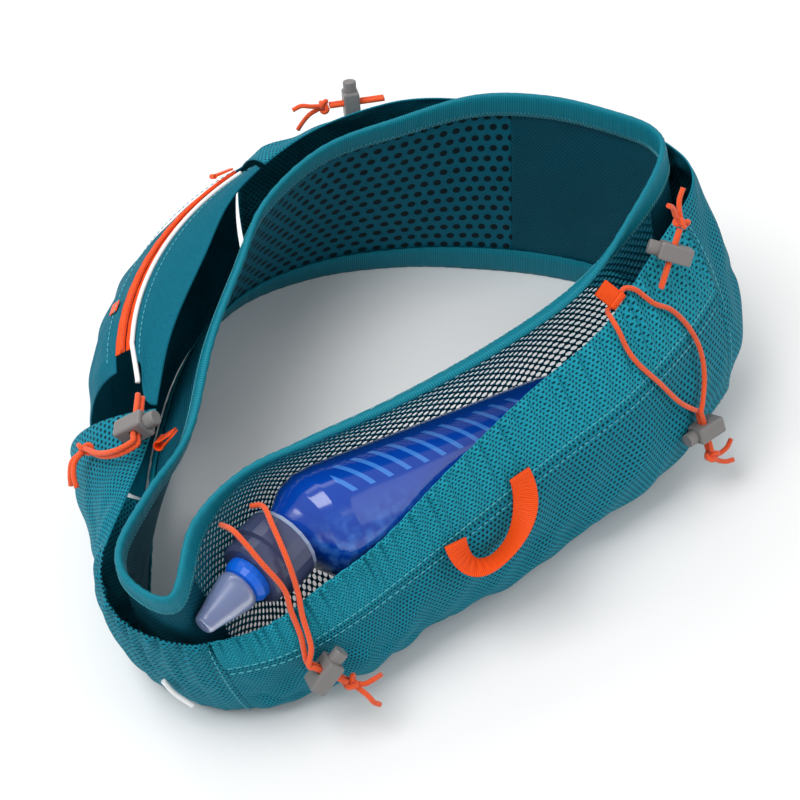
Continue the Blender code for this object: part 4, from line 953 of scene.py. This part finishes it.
coords = add_node(tree, "TexCoord")
frost_noise = add_node(tree, "TexNoise", {"Vector": coords.outputs["Object"], "Scale": 160.0, "Detail": 6.0})
frost = add_node(tree, "MapRange", {"Value": frost_noise.outputs[0], "From Min": 0.40, "From Max": 0.65})
low = add_node(tree, "MapRange", {"Value": parts_node.outputs[1], "From Min": 0.060, "From Max": 0.085})
frosted = add_node(tree, "Math", {0: frost.outputs[0], 1: low.outputs[0]}, operation="MULTIPLY")
blue = add_node(tree, "Mix", {0: frosted.outputs[0], 6: linear("043FA6"), 7: linear("3A74CC")},
                data_type="RGBA")
two_tone(tree, shader, printed.outputs[0], blue.outputs[2], linear("3F7FD6"))
flask_uv = np.stack(np.broadcast_arrays(along[:, None], FLASK[:, 1].max() * turn[None]), -1)
flask_film = grid_object("flask_film_body", flask_points, film, False, True, flask_uv)
fasten(flask_film, "flask", "flask_body")


# ---------------------------------------------------------------- bite valve
# Soft translucent silicone nipple, pushed over the blue shut-off base in the middle of the cap.
cap_x = unit(np.cross(CAP_AXIS, (0, 0, 1)))
cap_y = np.cross(CAP_AXIS, cap_x)


def lathe(name, profile, finish, sides=48):
    """A turned piece about the cap's axis; the profile gives radius and height."""
    profile = np.asarray(profile, float)
    turn = 2 * math.pi * np.arange(sides) / sides
    r, z = profile[:, :1], profile[:, 1:]
    ring = np.cos(turn)[None, :, None] * cap_x + np.sin(turn)[None, :, None] * cap_y
    points = NECK + z[..., None] * CAP_AXIS + r[..., None] * ring
    return grid_object(name, points, finish, False, True)


silicone, _, _ = finish_of("bite_silicone_clear", Base_Color=linear("7D8BB5"), Roughness=0.28,
                           Transmission_Weight=0.25, Subsurface_Weight=0.1)
bite = lathe("bite_nipple", [(0.00001, 0.0384), (0.0102, 0.0384), (0.0108, 0.0396), (0.0110, 0.0420),
                             (0.0105, 0.0440), (0.0098, 0.0470), (0.0086, 0.0520), (0.0070, 0.0580),
                             (0.0060, 0.0620), (0.0056, 0.0640), (0.0048, 0.0655), (0.0036, 0.0660),
                             (0.0012, 0.0656), (0.00001, 0.0650)], silicone)
fasten(bite, "valve", "bite_valve")


# ---------------------------------------------------------------- hard parts
# Moulded cord locks, flask cap, valve base, zip slider and puller keep their shape; they get their plastics.
def recoat(nodes, finish):
    """Gives the slots of CAD nodes another material."""
    for node in nodes:
        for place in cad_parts[node].material_slots:
            place.material = finish


def moulded(name, colour, roughness):
    """Moulded plastic with a fine even grain."""
    made, tree, shader = finish_of(name, Base_Color=linear(colour), Roughness=roughness)
    coords = add_node(tree, "TexCoord")
    noise = add_node(tree, "TexNoise", {"Vector": coords.outputs["Object"], "Scale": 1400.0, "Detail": 2.0})
    relief_of(tree, shader, noise.outputs[0], 0.35, 0.00004)
    return made


LABELS = ("flask", "side", "left", "right", "front")
recoat([f"lock_{label}_{part}" for label in LABELS for part in ("body", "plunger")],
       moulded("lock_plastic_grey", "7A7776", 0.42))
recoat([f"lock_{label}_spring" for label in LABELS],
       finish_of("spring_steel_wire", Base_Color=linear("B8BABD"), Metallic=1.0, Roughness=0.25)[0])
recoat(["flask_cap"], moulded("cap_plastic_slate", "3F4666", 0.3))
recoat(["valve_base"], moulded("valve_plastic_blue", "0A62D8", 0.28))
recoat(["cap_gasket"], moulded("gasket_rubber_grey", "8C9BB8", 0.6))
recoat(["zip_slider", "zip_puller"], moulded("zip_plastic_orange", "FF5A14", 0.4))
